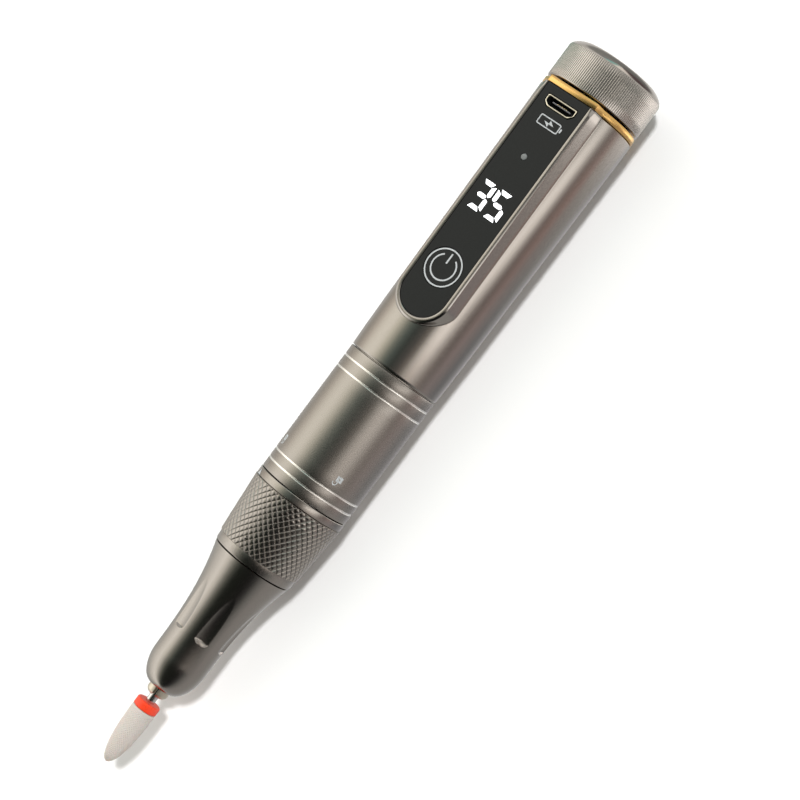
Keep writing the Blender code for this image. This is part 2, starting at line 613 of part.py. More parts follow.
def make_release():
    tube("release_sleeve", SLEEVE_FRONT, SLEEVE_REAR, SLEEVE_RADIUS, SLEEVE_BORE, "steel", RELEASE)
    half = CAM_PIN_HALF_LENGTH
    for index, side in enumerate((-1, 1), 1):
        pin = rod(f"cam_pin_{index}", -half, half, CAM_PIN_RADIUS, "steel", RELEASE, SMALL_SIDES)
        pin.rotation_mode = "XYZ"
        pin.rotation_euler = (math.pi / 2, 0, 0)
        pin.data.transform(Matrix.Translation((0, 0, -to_x(0))))
        pin.location = (to_x(CAM_STATION), side * mm(SLEEVE_RADIUS + GAP + half), 0)


def make_spring():
    """The release spring, a round-wire helix behind the sleeve."""
    front = SLEEVE_REAR + GAP + SPRING_WIRE + 0.15
    rear = HOUSING_REAR - SPRING_WIRE
    curve = bpy.data.curves.new("release_spring", "CURVE")
    curve.dimensions = "3D"
    curve.bevel_depth = mm(SPRING_WIRE)
    curve.bevel_resolution = 0
    curve.use_fill_caps = True
    steps = SPRING_TURNS * 10
    spline = curve.splines.new("POLY")
    spline.points.add(steps)
    for i, point in enumerate(spline.points):
        angle = 2 * math.pi * SPRING_TURNS * i / steps
        along = to_x(front + (rear - front) * i / steps)
        point.co = (along, mm(SPRING_RADIUS) * math.sin(angle), mm(SPRING_RADIUS) * math.cos(angle), 1)
    place(bpy.data.objects.new("release_spring", curve), HOUSING, "steel")


def nose_radius(station):
    """A blunt tip up to the waist, then a trumpet flare to the lock ring."""
    if station < NOSE_WAIST_STATION:
        reach = 1 - station / NOSE_WAIST_STATION
        return NOSE_TIP_RADIUS + (NOSE_WAIST - NOSE_TIP_RADIUS) * (1 - reach**2) ** 0.6
    reach = (station - NOSE_WAIST_STATION) / (NOSE_REAR - NOSE_WAIST_STATION)
    return NOSE_WAIST + (NOSE_REAR_RADIUS - NOSE_WAIST) * reach**NOSE_FLARE


def make_nose():
    stations = [NOSE_REAR, 33.5, 30.5, 27, 23, 18, 12, NOSE_WAIST_STATION, 5, 2.5, 0.8, 0]
    outside = [(s, nose_radius(s)) for s in stations]
    mouth = [(0, NOSE_MOUTH), (NOSE_MOUTH_REAR, NOSE_MOUTH), (NOSE_MOUTH_REAR, NOSE_BORE)]
    seat = [(NOSE_BORE_REAR, NOSE_BORE), (NOSE_BORE_REAR, NOSE_SEAT_RADIUS), (NOSE_REAR, NOSE_SEAT_RADIUS)]
    nose = turned("nose_cone", outside + mouth + seat, "anodised_aluminium", sides=36)
    for index in range(FLUTES):
        cut(nose, make_flute_cutter(index))


def make_flute_cutter(index):
    """A round-nosed bar beside the nose, which scoops one shallow finger flute."""
    bm = bmesh.new()
    bmesh.ops.create_uvsphere(bm, u_segments=12, v_segments=8, radius=mm(FLUTE_RADIUS))
    stretch = Matrix.Diagonal((FLUTE_STRETCH, 1, 1, 1))
    bmesh.ops.transform(bm, matrix=stretch, verts=bm.verts)
    middle = (FLUTE_FRONT + FLUTE_REAR) / 2
    out = nose_radius(middle) + FLUTE_RADIUS - FLUTE_DEPTH
    turn = Matrix.Rotation(2 * math.pi * (index + 0.5) / FLUTES, 4, "X")
    bmesh.ops.transform(bm, matrix=turn @ Matrix.Translation((to_x(middle), 0, mm(out))), verts=bm.verts)
    return from_bmesh(f"flute_{index + 1}", bm, None, HOUSING)


def make_bearing(name, front, rear, outer, bore):
    """Outer race and cage stay with the housing, and the inner race turns with the spindle."""
    step = (outer - bore) / 3
    middle_outer, middle_inner = outer - step, bore + step
    tube(f"{name}_outer", front, rear, outer, middle_outer + RACE_GAP / 2, "steel")
    cage = (front + CAGE_INSET, rear - CAGE_INSET, middle_outer - RACE_GAP, middle_inner + RACE_GAP)
    tube(f"{name}_cage", *cage, "brass")
    tube(f"{name}_inner", front, rear, middle_inner - RACE_GAP / 2, bore, "steel", SPINDLE)


def make_spindle():
    inside = [(SPINDLE_BORE_REAR, 0), (SPINDLE_BORE_REAR, SPINDLE_BORE), (SPINDLE_FRONT, SPINDLE_BORE)]
    outside = [(SPINDLE_REAR, 0), (SPINDLE_REAR, SPINDLE_RADIUS), (SPINDLE_FRONT, SPINDLE_RADIUS)]
    profile = outside + inside[::-1]
    shaft = turned("spindle_shaft", profile, "steel", SPINDLE, solid=True)
    stations = (SPINDLE_REAR - DRIVE_SLOT_DEPTH, SPINDLE_REAR + 1)
    across = (-DRIVE_SLOT_HALF_WIDTH, DRIVE_SLOT_HALF_WIDTH)
    cut(shaft, block("drive_slot", stations, across, (-SPINDLE_RADIUS - 1, SPINDLE_RADIUS + 1)))
    profile = [
        (SPINDLE_FRONT - GAP, SPINDLE_RADIUS),
        (COLLET_SHOULDER, SPINDLE_RADIUS),
        (COLLET_SHOULDER, COLLET_RADIUS),
        (COLLET_FRONT + COLLET_NIP, COLLET_RADIUS),
        (COLLET_FRONT, COLLET_RADIUS - COLLET_NIP),
        (COLLET_FRONT, COLLET_BORE),
        (SPINDLE_FRONT - GAP, COLLET_BORE),
    ]
    collet = turned("collet", profile, "steel", SPINDLE, 24)
    stations = (COLLET_FRONT - 1, COLLET_SLIT_REAR)
    across = (-COLLET_SLIT_HALF_WIDTH, COLLET_SLIT_HALF_WIDTH)
    heights = (COLLET_BORE / 2, COLLET_RADIUS + 1)
    for index in range(COLLET_SLITS):
        slit = block(f"slit_{index + 1}", stations, across, heights)
        slit.rotation_euler.x = 2 * math.pi * index / COLLET_SLITS
        cut(collet, slit)


def make_bit():
    rod("bit_shank", SHANK_FRONT, SHANK_REAR, SHANK_RADIUS, "steel", BIT, SMALL_SIDES)
    hole = SHANK_RADIUS + GAP
    tube("bit_colour_ring", GRIT_RING_FRONT, GRIT_RING_REAR, GRIT_RING_RADIUS, hole, "grit_orange", BIT, 24)
    length = HEAD_REAR - BIT_TIP
    steps = 7
    outside = []
    for i in range(steps):
        reach = i / steps
        radius = HEAD_RADIUS * (1 - reach**HEAD_TAPER) ** HEAD_ROUNDNESS
        outside.append((HEAD_REAR - length * reach, radius))
    inside = [(SHANK_FRONT - GAP, 0), (SHANK_FRONT - GAP, hole), (HEAD_REAR, hole)]
    profile = [*outside, (BIT_TIP, 0)]
    turned("bit_head", inside + profile, "ceramic", BIT, 24, solid=True)


def make_motor():
    hub, bore = MOTOR_HUB_RADIUS, MOTOR_RADIUS - MOTOR_WALL
    profile = [
        (MOTOR_REAR, MOTOR_RADIUS),
        (MOTOR_FRONT, MOTOR_RADIUS),
        (MOTOR_FRONT, hub),
        (MOTOR_FRONT + MOTOR_FLOOR, hub),
        (MOTOR_FRONT + MOTOR_FLOOR, bore),
        (MOTOR_REAR, bore),
    ]
    turned("motor_can", profile, "steel", sides=32)
    inner, outer = ROTOR_RADIUS + GAP, bore - GAP
    tube("motor_magnet_ring", MAGNET_FRONT, MAGNET_REAR, outer, inner, "magnet", sides=24)
    bush = ROTOR_SHAFT_RADIUS + GAP
    tube("motor_bushing_front", *BUSHING_FRONT_STATIONS, hub - GAP, bush, "brass", sides=16)
    cap_front = MOTOR_REAR + GAP
    tube("motor_end_cap", cap_front, END_CAP_REAR, MOTOR_RADIUS, hub, "dark_plastic", sides=32)
    tube("motor_bushing_rear", *BUSHING_REAR_STATIONS, hub - GAP, bush, "brass", sides=16)
    heights = (-BRUSH_HALF_HEIGHT, BRUSH_HALF_HEIGHT)
    for index, side in enumerate((-1, 1), 1):
        across = sorted((side * BRUSH_INNER, side * BRUSH_OUTER))
        block(f"motor_brush_{index}", BRUSH_STATIONS, across, heights, "copper")


def make_rotor():
    hole = ROTOR_SHAFT_RADIUS + GAP
    tube("rotor_core", ROTOR_FRONT, ROTOR_REAR, ROTOR_RADIUS, hole, "copper", ROTOR, 24)
    stations = (ROTOR_SHAFT_FRONT, ROTOR_SHAFT_REAR)
    rod("rotor_shaft", *stations, ROTOR_SHAFT_RADIUS, "steel", ROTOR, SMALL_SIDES)
    stations = (COMMUTATOR_FRONT, COMMUTATOR_REAR)
    tube("commutator", *stations, COMMUTATOR_RADIUS, hole, "copper", ROTOR, 16)
    front = SPINDLE_REAR + GAP
    coupling = rod("drive_coupling", front, COUPLING_REAR, COUPLING_RADIUS, "steel", ROTOR)
    stations = (front - DRIVE_TONGUE_REACH, front + 1)
    across = (-DRIVE_TONGUE_HALF_WIDTH, DRIVE_TONGUE_HALF_WIDTH)
    heights = (-DRIVE_TONGUE_HALF_HEIGHT, DRIVE_TONGUE_HALF_HEIGHT)
    join(coupling, block("drive_tongue", stations, across, heights))
    stations = (ROTOR_SHAFT_FRONT - GAP, COUPLING_REAR + 1)
    cut(coupling, rod("coupling_bore", *stations, hole, sides=SMALL_SIDES))


def make_wire(name, side, finish):
    curve = bpy.data.curves.new(name, "CURVE")
    curve.dimensions = "3D"
    curve.bevel_depth = mm(WIRE_RADIUS)
    curve.bevel_resolution = 2
    curve.use_fill_caps = True
    spline = curve.splines.new("POLY")
    spline.points.add(len(WIRE_ROUTE) - 1)
    for point, (station, across, height) in zip(spline.points, WIRE_ROUTE):
        point.co = (to_x(station), mm(side * across), mm(height), 1)
    place(bpy.data.objects.new(name, curve), HOUSING, finish)


make_body_shell()
make_panel()
make_button()
make_indicator()
make_inlet()
make_board()
make_chassis()
make_cell()
make_tail()
make_dial()
make_collar()
make_lock_ring()
make_lock_housing()
make_release()
make_spring()
make_nose()
tube("front_seal", *FRONT_SEAL, SPINDLE_RADIUS + GAP, "rubber")
make_bearing("front_bearing", *FRONT_BEARING, SPINDLE_RADIUS + GAP)
make_bearing("rear_bearing", *REAR_BEARING, SPINDLE_RADIUS + GAP)
make_spindle()
make_bit()
make_motor()
make_rotor()
make_wire("motor_wire_1", 1, "wire_red")
make_wire("motor_wire_2", -1, "wire_black")
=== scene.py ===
"""Looks for the cordless nail drill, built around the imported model.

The pen's axis runs along X: the bit points to -X and the speed dial to +X. A place along the
pen is a station, in millimetres behind the front edge of the nose. An angle around the pen is
in degrees from straight up, towards -Y. Heights and sideways places are in millimetres from
the pen's axis. to_x(), at() and on_pen() give metres.
"""

import json
import math

import bmesh
import bpy
from mathutils import Matrix, Vector


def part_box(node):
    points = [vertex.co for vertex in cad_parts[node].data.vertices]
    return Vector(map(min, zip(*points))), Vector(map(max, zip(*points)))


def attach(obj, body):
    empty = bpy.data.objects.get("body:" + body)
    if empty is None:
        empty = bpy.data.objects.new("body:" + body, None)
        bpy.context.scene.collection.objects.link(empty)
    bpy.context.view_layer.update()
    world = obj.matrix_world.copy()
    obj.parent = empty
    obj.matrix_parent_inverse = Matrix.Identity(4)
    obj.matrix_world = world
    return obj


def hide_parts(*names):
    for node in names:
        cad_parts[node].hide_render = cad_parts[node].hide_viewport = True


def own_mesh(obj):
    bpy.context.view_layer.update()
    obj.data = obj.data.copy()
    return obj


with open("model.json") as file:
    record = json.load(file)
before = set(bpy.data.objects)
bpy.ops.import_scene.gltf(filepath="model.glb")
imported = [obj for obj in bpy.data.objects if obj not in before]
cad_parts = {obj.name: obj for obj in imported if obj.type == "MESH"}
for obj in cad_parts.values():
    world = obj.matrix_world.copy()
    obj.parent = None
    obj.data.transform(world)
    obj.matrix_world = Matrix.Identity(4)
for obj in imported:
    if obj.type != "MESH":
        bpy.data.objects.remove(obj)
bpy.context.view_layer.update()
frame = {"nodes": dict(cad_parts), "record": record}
NODES = frame["nodes"]

MM = 0.001
NOSE_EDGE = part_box("nose_cone")[0].x
AXIS = (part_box("collar_sleeve")[0].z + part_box("collar_sleeve")[1].z) / 2

# Stations and sizes of the visible pieces, in millimetres
NOSE_REAR = 36.1
RING_FRONT, RING_REAR = 36.35, 56.2
KNURL_FRONT, KNURL_REAR = 38.77, 54.04
KNURL_FRONT_RADIUS, KNURL_REAR_RADIUS = 10.85, 12.0
RING_BORE = 9.4
COLLAR_FRONT, COLLAR_REAR, COLLAR_RADIUS, COLLAR_BORE = 56.4, 91.25, 11.83, 9.9
COLLAR_LINES = (59.02, 61.59, 85.55, 88.51)
SLEEVE_REAR = 98.0  # the collar's thin tube goes this far into the body
BODY_FRONT, BODY_REAR, BODY_BORE = 91.5, 165.8, 10.95
LAND_TOP, WINDOW_HALF_WIDTH, WINDOW_FRONT = 12.8, 6.2, 104.8
PANEL_TOP, PANEL_THICKNESS = 12.65, 1.2
KEY_STATION, KEY_RADIUS = 117.66, 4.8
DISPLAY_STATION = 135.98
LAMP_STATION, LAMP_RADIUS = 148.5, 0.74
MARK_STATION = 157.7
INLET_STATION, INLET_WIDTH, INLET_DEPTH = 162.2, 8.4, 2.7
TRIM_FRONT, TRIM_REAR, TRIM_RADIUS = 165.95, 167.55, 12.7
DIAL_FRONT, DIAL_END, DIAL_RADIUS = 168.15, 178.95, 12.72
SHANK_FRONT, SHANK_REAR, SHANK_RADIUS, BIT_BORE = -15.0, 26.0, 1.175, 1.18
HEAD_REAR, HEAD_TIP, HEAD_RADIUS = -6.7, -21.8, 3.1
CLIMB, CLIMB_FROM = 0.0147, 115.0  # how much the land rises per millimetre, and where it is level


def to_x(station):
    return NOSE_EDGE + MM * station


def at(station, across, height):
    """A point this far across the pen, towards +Y, and above its axis."""
    return (to_x(station), MM * across, AXIS + MM * height)


def on_pen(station, radius, angle):
    """A point at this radius from the pen's axis, with the angle in degrees."""
    turn = math.radians(angle)
    return at(station, -radius * math.sin(turn), radius * math.cos(turn))


def rise(station):
    """The land and its panel climb slightly towards the dial."""
    return CLIMB * (station - CLIMB_FROM)


# ---------------------------------------------------------------- materials


def noise(nodes, links, scale, detail=3.0, stretch=(1, 1, 1)):
    """Noise in object space, with its scale in cells per metre."""
    where = nodes.new("ShaderNodeTexCoord")
    mapping = nodes.new("ShaderNodeMapping")
    mapping.inputs["Scale"].default_value = stretch
    texture = nodes.new("ShaderNodeTexNoise")
    texture.inputs["Scale"].default_value = scale
    texture.inputs["Detail"].default_value = detail
    links.new(where.outputs["Object"], mapping.inputs["Vector"])
    links.new(mapping.outputs["Vector"], texture.inputs["Vector"])
    return texture.outputs["Fac"]


def ranged(nodes, links, value, low, high, start=0.3, end=0.7):
    """The value between start and end, as a number between low and high."""
    spread = nodes.new("ShaderNodeMapRange")
    spread.inputs["From Min"].default_value = start
    spread.inputs["From Max"].default_value = end
    spread.inputs["To Min"].default_value = low
    spread.inputs["To Max"].default_value = high
    links.new(value, spread.inputs["Value"])
    return spread.outputs["Result"]


def tinted(nodes, links, value, dark, light, start=0.3, end=0.7):
    """The value between start and end, as a colour between dark and light."""
    ramp = nodes.new("ShaderNodeValToRGB")
    for stop, place, colour in zip(ramp.color_ramp.elements, (start, end), (dark, light)):
        stop.position = place
        stop.color = (*colour, 1)
    links.new(value, ramp.inputs["Fac"])
    return ramp.outputs["Color"]


MATERIALS = {}


def finish(name, colour, roughness, metallic=0.0, shade=0.06, rough_spread=0.04, grain=2500,
           bump=0.0, bump_scale=6000, stretch=(1, 1, 1), **sockets):
    """A material whose colour and roughness vary with a fine grain, with an optional bump.

    Other sockets of the shader are given by name. It is kept in MATERIALS."""
    made = MATERIALS[name] = bpy.data.materials.new(name)
    made.use_nodes = True
    nodes, links = made.node_tree.nodes, made.node_tree.links
    shader = nodes["Principled BSDF"]
    shader.inputs["Metallic"].default_value = metallic
    for socket, value in sockets.items():
        shader.inputs[socket.replace("_", " ")].default_value = value
    grains = noise(nodes, links, grain, stretch=stretch)
    dark = [c * (1 - shade) for c in colour]
    light = [min(1, c * (1 + shade)) for c in colour]
    links.new(tinted(nodes, links, grains, dark, light), shader.inputs["Base Color"])
    rough = ranged(nodes, links, grains, roughness - rough_spread, roughness + rough_spread)
    links.new(rough, shader.inputs["Roughness"])
    if bump:
        relief = nodes.new("ShaderNodeBump")
        relief.inputs["Strength"].default_value = bump
        relief.inputs["Distance"].default_value = BUMP_HEIGHT
        links.new(noise(nodes, links, bump_scale, 2.0, stretch), relief.inputs["Height"])
        links.new(relief.outputs["Normal"], shader.inputs["Normal"])
    return made


BUMP_HEIGHT = 0.00002
LATHE = (6, 0.25, 0.25)  # streaks around the pen, as a lathe leaves them
GREY = (0.335, 0.312, 0.285)
SATIN = {"shade": 0.03, "rough_spread": 0.02}
PANEL = {"shade": 0.15, "bump_scale": 9000, "Specular_IOR_Level": 0.28}

finish("body_aluminium", GREY, 0.17, 1.0, bump=0.05, **SATIN)
finish("collar_aluminium", GREY, 0.28, 1.0, bump=0.05, **SATIN)
finish("ring_aluminium", GREY, 0.2, 1.0)
finish("nose_aluminium", GREY, 0.2, 1.0, bump=0.05, **SATIN)
finish("dial_aluminium", (0.40, 0.375, 0.345), 0.18, 1.0)
finish("dial_lip", (0.42, 0.395, 0.365), 0.16, 1.0, shade=0.02, rough_spread=0.02)
finish("dial_end", (0.42, 0.395, 0.36), 0.3, 1.0, bump=0.35, stretch=(0.3, 1, 1))
finish("gold_aluminium", (0.74, 0.46, 0.16), 0.26, 1.0, stretch=LATHE, bump=0.06)
finish("cut_edge", (0.37, 0.35, 0.325), 0.13, 1.0, **SATIN)
finish("cut_line", (0.9, 0.88, 0.84), 0.25, 1.0, shade=0.04, stretch=LATHE, bump=0.1)
finish("panel_black", (0.0075, 0.0085, 0.0085), 0.36, bump=0.12, **PANEL)
finish("button_black", (0.0075, 0.0085, 0.0085), 0.34, bump=0.1, **PANEL)
finish("indicator_lens", (0.13, 0.14, 0.14), 0.3, shade=0.1, Coat_Weight=0.5)
finish("socket_metal", (0.86, 0.79, 0.62), 0.22, 1.0, shade=0.05, bump=0.1)
finish("socket_tongue", (0.12, 0.12, 0.125), 0.45, shade=0.12, bump=0.2)
finish("contact_gold", (0.85, 0.66, 0.3), 0.28, 1.0)
finish("lit_segment", (0.9, 0.92, 0.95), 0.5, shade=0.02, Emission_Color=(0.95, 0.97, 1.0, 1),
       Emission_Strength=1.1)
finish("print_white", (0.40, 0.42, 0.43), 0.5, shade=0.06, bump=0.15)
finish("print_grey", (0.42, 0.44, 0.45), 0.5, shade=0.06, bump=0.15)
finish("board_green", (0.03, 0.16, 0.07), 0.45, shade=0.2, bump=0.2, Coat_Weight=0.4)
finish("screw_steel", (0.55, 0.55, 0.56), 0.3, 1.0, bump=0.2)
finish("dark_plastic", (0.03, 0.03, 0.031), 0.5, shade=0.15, bump=0.4)
finish("cell_wrap", (0.05, 0.22, 0.45), 0.4, shade=0.1, bump=0.3, Coat_Weight=0.5)
finish("nickel", (0.62, 0.6, 0.56), 0.3, 1.0, bump=0.2)
finish("brass", (0.7, 0.52, 0.22), 0.3, 1.0, stretch=LATHE, bump=0.2)
finish("steel", (0.6, 0.6, 0.6), 0.25, 1.0, stretch=LATHE, bump=0.2)
finish("spring_steel", (0.5, 0.5, 0.5), 0.3, 1.0, bump=0.15)
finish("rubber", (0.02, 0.02, 0.02), 0.75, shade=0.2, bump=0.5)
finish("magnet", (0.1, 0.1, 0.11), 0.6, 0.6, shade=0.15, bump=0.5)
finish("copper", (0.8, 0.42, 0.25), 0.35, 1.0, stretch=LATHE, bump=0.2)
finish("core_iron", (0.42, 0.2, 0.1), 0.4, 0.7, shade=0.25, stretch=LATHE, bump=0.6)
finish("wire_red", (0.6, 0.03, 0.02), 0.45, shade=0.1, bump=0.2)
finish("wire_black", (0.02, 0.02, 0.02), 0.45, shade=0.15, bump=0.2)
finish("collet_steel", (0.62, 0.57, 0.47), 0.38, 1.0, stretch=LATHE, bump=0.08)
finish("shank_steel", (0.66, 0.65, 0.63), 0.16, 1.0, stretch=LATHE, bump=0.1)
finish("grit_orange", (0.76, 0.048, 0.012), 0.45, shade=0.08, bump=0.25, Subsurface_Weight=0.15,
       Subsurface_Scale=0.0006)
finish("ceramic", (0.53, 0.49, 0.455), 0.5, shade=0.05, bump=0.3, bump_scale=3500,
       Subsurface_Weight=0.2, Subsurface_Scale=0.0008)


# ---------------------------------------------------------------- mesh helpers


def make_piece(name, bm, body, slot, replaced=(), materials=(), sharp=32, weld=0.0000005):
    """Turns a bmesh into a finished piece on a body, with outward normals and soft shading.
    Its only material is its slot's, unless others are named."""
    bmesh.ops.remove_doubles(bm, verts=bm.verts, dist=weld)
    bmesh.ops.dissolve_degenerate(bm, edges=bm.edges, dist=weld)
    bmesh.ops.recalc_face_normals(bm, faces=bm.faces)
    mesh = bpy.data.meshes.new(name)
    bm.to_mesh(mesh)
    bm.free()
    for material in materials or [slot]:
        mesh.materials.append(MATERIALS[material])
    mesh.shade_smooth()
    mesh.set_sharp_from_angle(angle=math.radians(sharp))
    obj = bpy.data.objects.new(name, mesh)
    bpy.context.scene.collection.objects.link(obj)
    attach(obj, body)
    if replaced:
        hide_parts(*replaced)
    return obj


def add_row(bm, points):
    return [bm.verts.new(point) for point in points]


def join_rows(bm, first, second, closed=True, material=0):
    """Quads between two rows with the same number of points."""
    count = len(first)
    for i in range(count if closed else count - 1):
        j = (i + 1) % count
        face = bm.faces.new((first[i], first[j], second[j], second[i]))
        face.material_index = material
        face.smooth = True


def stack(bm, rows, capped=False, closed=True):
    """Joins rows one after the other. Capped ones get a face at each end."""
    for first, second in zip(rows, rows[1:]):
        join_rows(bm, first, second, closed)
    if capped:
        bm.faces.new(rows[0])
        bm.faces.new(rows[-1])


def absorb(bm, other):
    """Adds another bmesh to this one, and frees it."""
    mesh = bpy.data.meshes.new("part")
    other.to_mesh(mesh)
    other.free()
    bm.from_mesh(mesh)
    bpy.data.meshes.remove(mesh)


def softened(corners, steps=4):
    """An outline with rounded corners, from points whose last number is the length cut off
    each side of the corner. An open outline's ends stay."""
    made = []
    for i, (*here, reach) in enumerate(corners):
        here = Vector(here)
        if not reach or i in (0, len(corners) - 1):
            made.append(here)
            continue
        before = (Vector(corners[i - 1][:-1]) - here).normalized() * reach
        after = (Vector(corners[i + 1][:-1]) - here).normalized() * reach
        for k in range(steps + 1):
            t = k / steps
            made.append(here + before * (1 - t) ** 2 + after * t**2)
    return [tuple(point) for point in made]


def softened_loop(corners, steps=4):
    return softened([corners[-1], *corners, corners[0]], steps)[1:-1]


def add_turned(bm, profile, sides, closed=True, bands=(), shape=None):
    """Revolves a profile of (station, radius) points. bands are (front, rear, material).
    shape(station, radius, angle) may change the radius."""
    angles = [360 * k / sides for k in range(sides)]
    rows = []
    for station, radius in profile:
        radii = [shape(station, radius, a) if shape else radius for a in angles]
        rows.append(add_row(bm, [on_pen(station, r, a) for r, a in zip(radii, angles)]))
    pairs = list(zip(profile, profile[1:], rows, rows[1:]))
    if closed:
        pairs.append((profile[-1], profile[0], rows[-1], rows[0]))
    for (s0, _), (s1, _), first, second in pairs:
        middle = (s0 + s1) / 2
        kinds = [kind for front, rear, kind in bands if front <= middle <= rear]
        join_rows(bm, first, second, material=kinds[0] if kinds else 0)
    return rows


def crossed_grooves(bm, starts, pitch, front, rear, radius_at, depth, lines):
    """A sleeve between two stations with two sets of crossing spiral grooves.

    Every vertex lies on one line of each set, so the grooves run along the edges. lines are
    (share of the pitch, share of the depth), for one pitch of a set."""
    count = len(lines)
    shares = [share for share, _ in lines]
    depths = [low for _, low in lines]
    span = (rear - front) / pitch
    made = {}

    def line_at(k):
        return k // count + shares[k % count]

    def vertex(a, b):
        turn = (line_at(a) + line_at(b)) / 2
        laps = math.floor(turn / starts)
        key = (a - laps * starts * count, b - laps * starts * count)
        if key not in made:
            along = (line_at(a) - line_at(b)) / 2
            station = front + pitch * along
            low = max(depths[a % count], depths[b % count]) * depth
            radius = radius_at(station) - low
            made[key] = bm.verts.new(on_pen(station, radius, 360 * (turn - laps * starts) / starts))
        return made[key]

    beyond = 0.6  # pitches past each end, which the two planes then cut off
    for a in range(-count, int((starts + span + 1) * count)):
        for b in range(int(-(span + 1) * count), (starts + 1) * count):
            turn = (line_at(a) + line_at(b) + line_at(a + 1) + line_at(b + 1)) / 4
            along = (line_at(a) + line_at(a + 1) - line_at(b) - line_at(b + 1)) / 4
            if 0 <= turn < starts and -beyond < along < span + beyond:
                bm.faces.new((vertex(a, b), vertex(a + 1, b), vertex(a + 1, b + 1), vertex(a, b + 1)))
    for station, way in ((front, -1), (rear, 1)):
        everything = bm.verts[:] + bm.edges[:] + bm.faces[:]
        bmesh.ops.bisect_plane(bm, geom=everything, dist=1e-8, plane_co=(to_x(station), 0, 0),
                               plane_no=(way, 0, 0), clear_outer=True)


def rim_edges(bm, station):
    """The open edges at this station."""
    x = to_x(station)
    return [e for e in bm.edges if e.is_boundary and all(abs(v.co.x - x) < 1e-6 for v in e.verts)]


def fill_flat(bm, loops, material=0):
    """Fills closed loops of vertices, with the inner ones as holes."""
    edges = []
    for loop in loops:
        for first, second in zip(loop, loop[1:] + loop[:1]):
            edges.append(bm.edges.get((first, second)) or bm.edges.new((first, second)))
    made = bmesh.ops.triangle_fill(bm, use_beauty=True, use_dissolve=False, edges=edges)
    for item in made["geom"]:
        if isinstance(item, bmesh.types.BMFace):
            item.material_index = material


def level(_):
    return 0.0


def plate(outlines, low, high, chamfer=0.0, climb=level):
    """A flat plate on the pen. Each outline is a function of how far it is drawn in, and gives
    (station, across) points. The first is the plate's edge and the others are holes. climb
    gives the height to add at a station."""
    bm = bmesh.new()
    tops, bottoms = [], []
    for outline in outlines:
        levels = [(low, 0), (high - chamfer, 0)]
        if chamfer:
            levels.append((high, chamfer))
        rows = []
        for height, inset in levels:
            rows.append(add_row(bm, [at(s, y, height + climb(s)) for s, y in outline(inset)]))
        stack(bm, rows)
        bottoms.append(rows[0])
        tops.append(rows[-1])
    fill_flat(bm, tops)
    fill_flat(bm, bottoms)
    return bm


def ring_points(station, across, radius, sides=48):
    turns = [2 * math.pi * k / sides for k in range(sides)]
    return [(station + radius * math.cos(t), across + radius * math.sin(t)) for t in turns]


def round_edge(station, radius, sides=48, way=1):
    """A round hole's edge, which grows as it is drawn in. A round plate's shrinks, with way -1."""
    return lambda inset: ring_points(station, 0, radius + way * inset, sides)


def u_outline(front, rear, half_width, steps=32):
    """A straight-backed outline with a half-round front, seen from above."""
    centre = front + half_width
    arc = [math.pi / 2 + math.pi * i / steps for i in range(steps + 1)]
    points = [(centre + half_width * math.cos(a), half_width * math.sin(a)) for a in arc]
    return [(rear, half_width), *points, (rear, -half_width)]


def inlet_outline(inset, corner=0.35, cut_corner=1.15):
    """The micro-USB shape, wide towards the dial and with two cut corners in front."""
    wide = INLET_WIDTH / 2 + inset
    rear = INLET_STATION + INLET_DEPTH / 2 + inset
    front = INLET_STATION - INLET_DEPTH / 2 - inset
    right = [(rear, wide, corner), (INLET_STATION - 0.35, wide, corner), (front, wide - cut_corner, corner)]
    return softened_loop(right + [(station, -across, cut) for station, across, cut in reversed(right)])


# ---------------------------------------------------------------- housing


FRONT_RADIUS, GROWTH = 11.85, 0.705
SWELL, SWELL_LENGTH = 0.21, 7.0


def body_radius(station):
    """The body swells quickly behind the joint, then slowly towards the dial."""
    behind = station - BODY_FRONT
    swell = SWELL * (1 - math.exp(-behind / SWELL_LENGTH))
    return FRONT_RADIUS + swell + GROWTH * behind / (BODY_REAR - BODY_FRONT)


def smooth_max(first, second, blend=0.5):
    """The higher of two heights, rounded over where they meet."""
    near = max(blend - abs(first - second), 0) / blend
    return max(first, second) + near * near * blend / 4


RIM = ((0, 0.42), (0, 0.2), (0.04, 0.09), (0.12, 0.04), (0.28, 0.01), (0.46, 0.0), (0.51, 0.06),
       (0.59, 0.06), (0.64, 0.0), (0.72, 0.02), (1.05, 0.3), (1.16, 0.37), (1.21, 0.5))
RIM_CUT = (9, 11)  # the polished part of the rim, as its first and last column
WALL_END, WALL_COLUMNS, WALL_SLOPE = 3.1, 18, 3.6
# The land's outer edge is drawn down at its rear end, between these places on the rim
BEVEL_FRONT, BEVEL_DROP, BEVEL_START, BEVEL_WIDTH = 163.6, 0.52, 0.3, 0.9


def land_columns(station, across, outward, lowered):
    """Points from the window's edge out to the body's round, along one outward direction.
    The first is the foot of the window's wall, on the bore."""
    bore_height = math.sqrt(max((BODY_BORE - lowered) ** 2 - across**2, 0))
    points = [(station, across, bore_height)]
    offsets = list(RIM)
    start, drop = RIM[-1]
    for k in range(1, WALL_COLUMNS + 1):
        out = start + (WALL_END - start) * k / WALL_COLUMNS
        offsets.append((out, drop + (out - start) * WALL_SLOPE))
    bevel = BEVEL_DROP * (max(station - BEVEL_FRONT, 0) / (BODY_REAR - BEVEL_FRONT)) ** 1.5
    for out, drop in offsets:
        s = station + outward[0] * out
        y = across + outward[1] * out
        round_height = math.sqrt((body_radius(s) - lowered) ** 2 - y * y)
        drawn = bevel * min(max((out - BEVEL_START) / BEVEL_WIDTH, 0), 1)
        height = LAND_TOP + rise(s) - lowered - drop - drawn
        points.append((s, y, smooth_max(height, round_height) if drop > 0.1 else height))
    return points


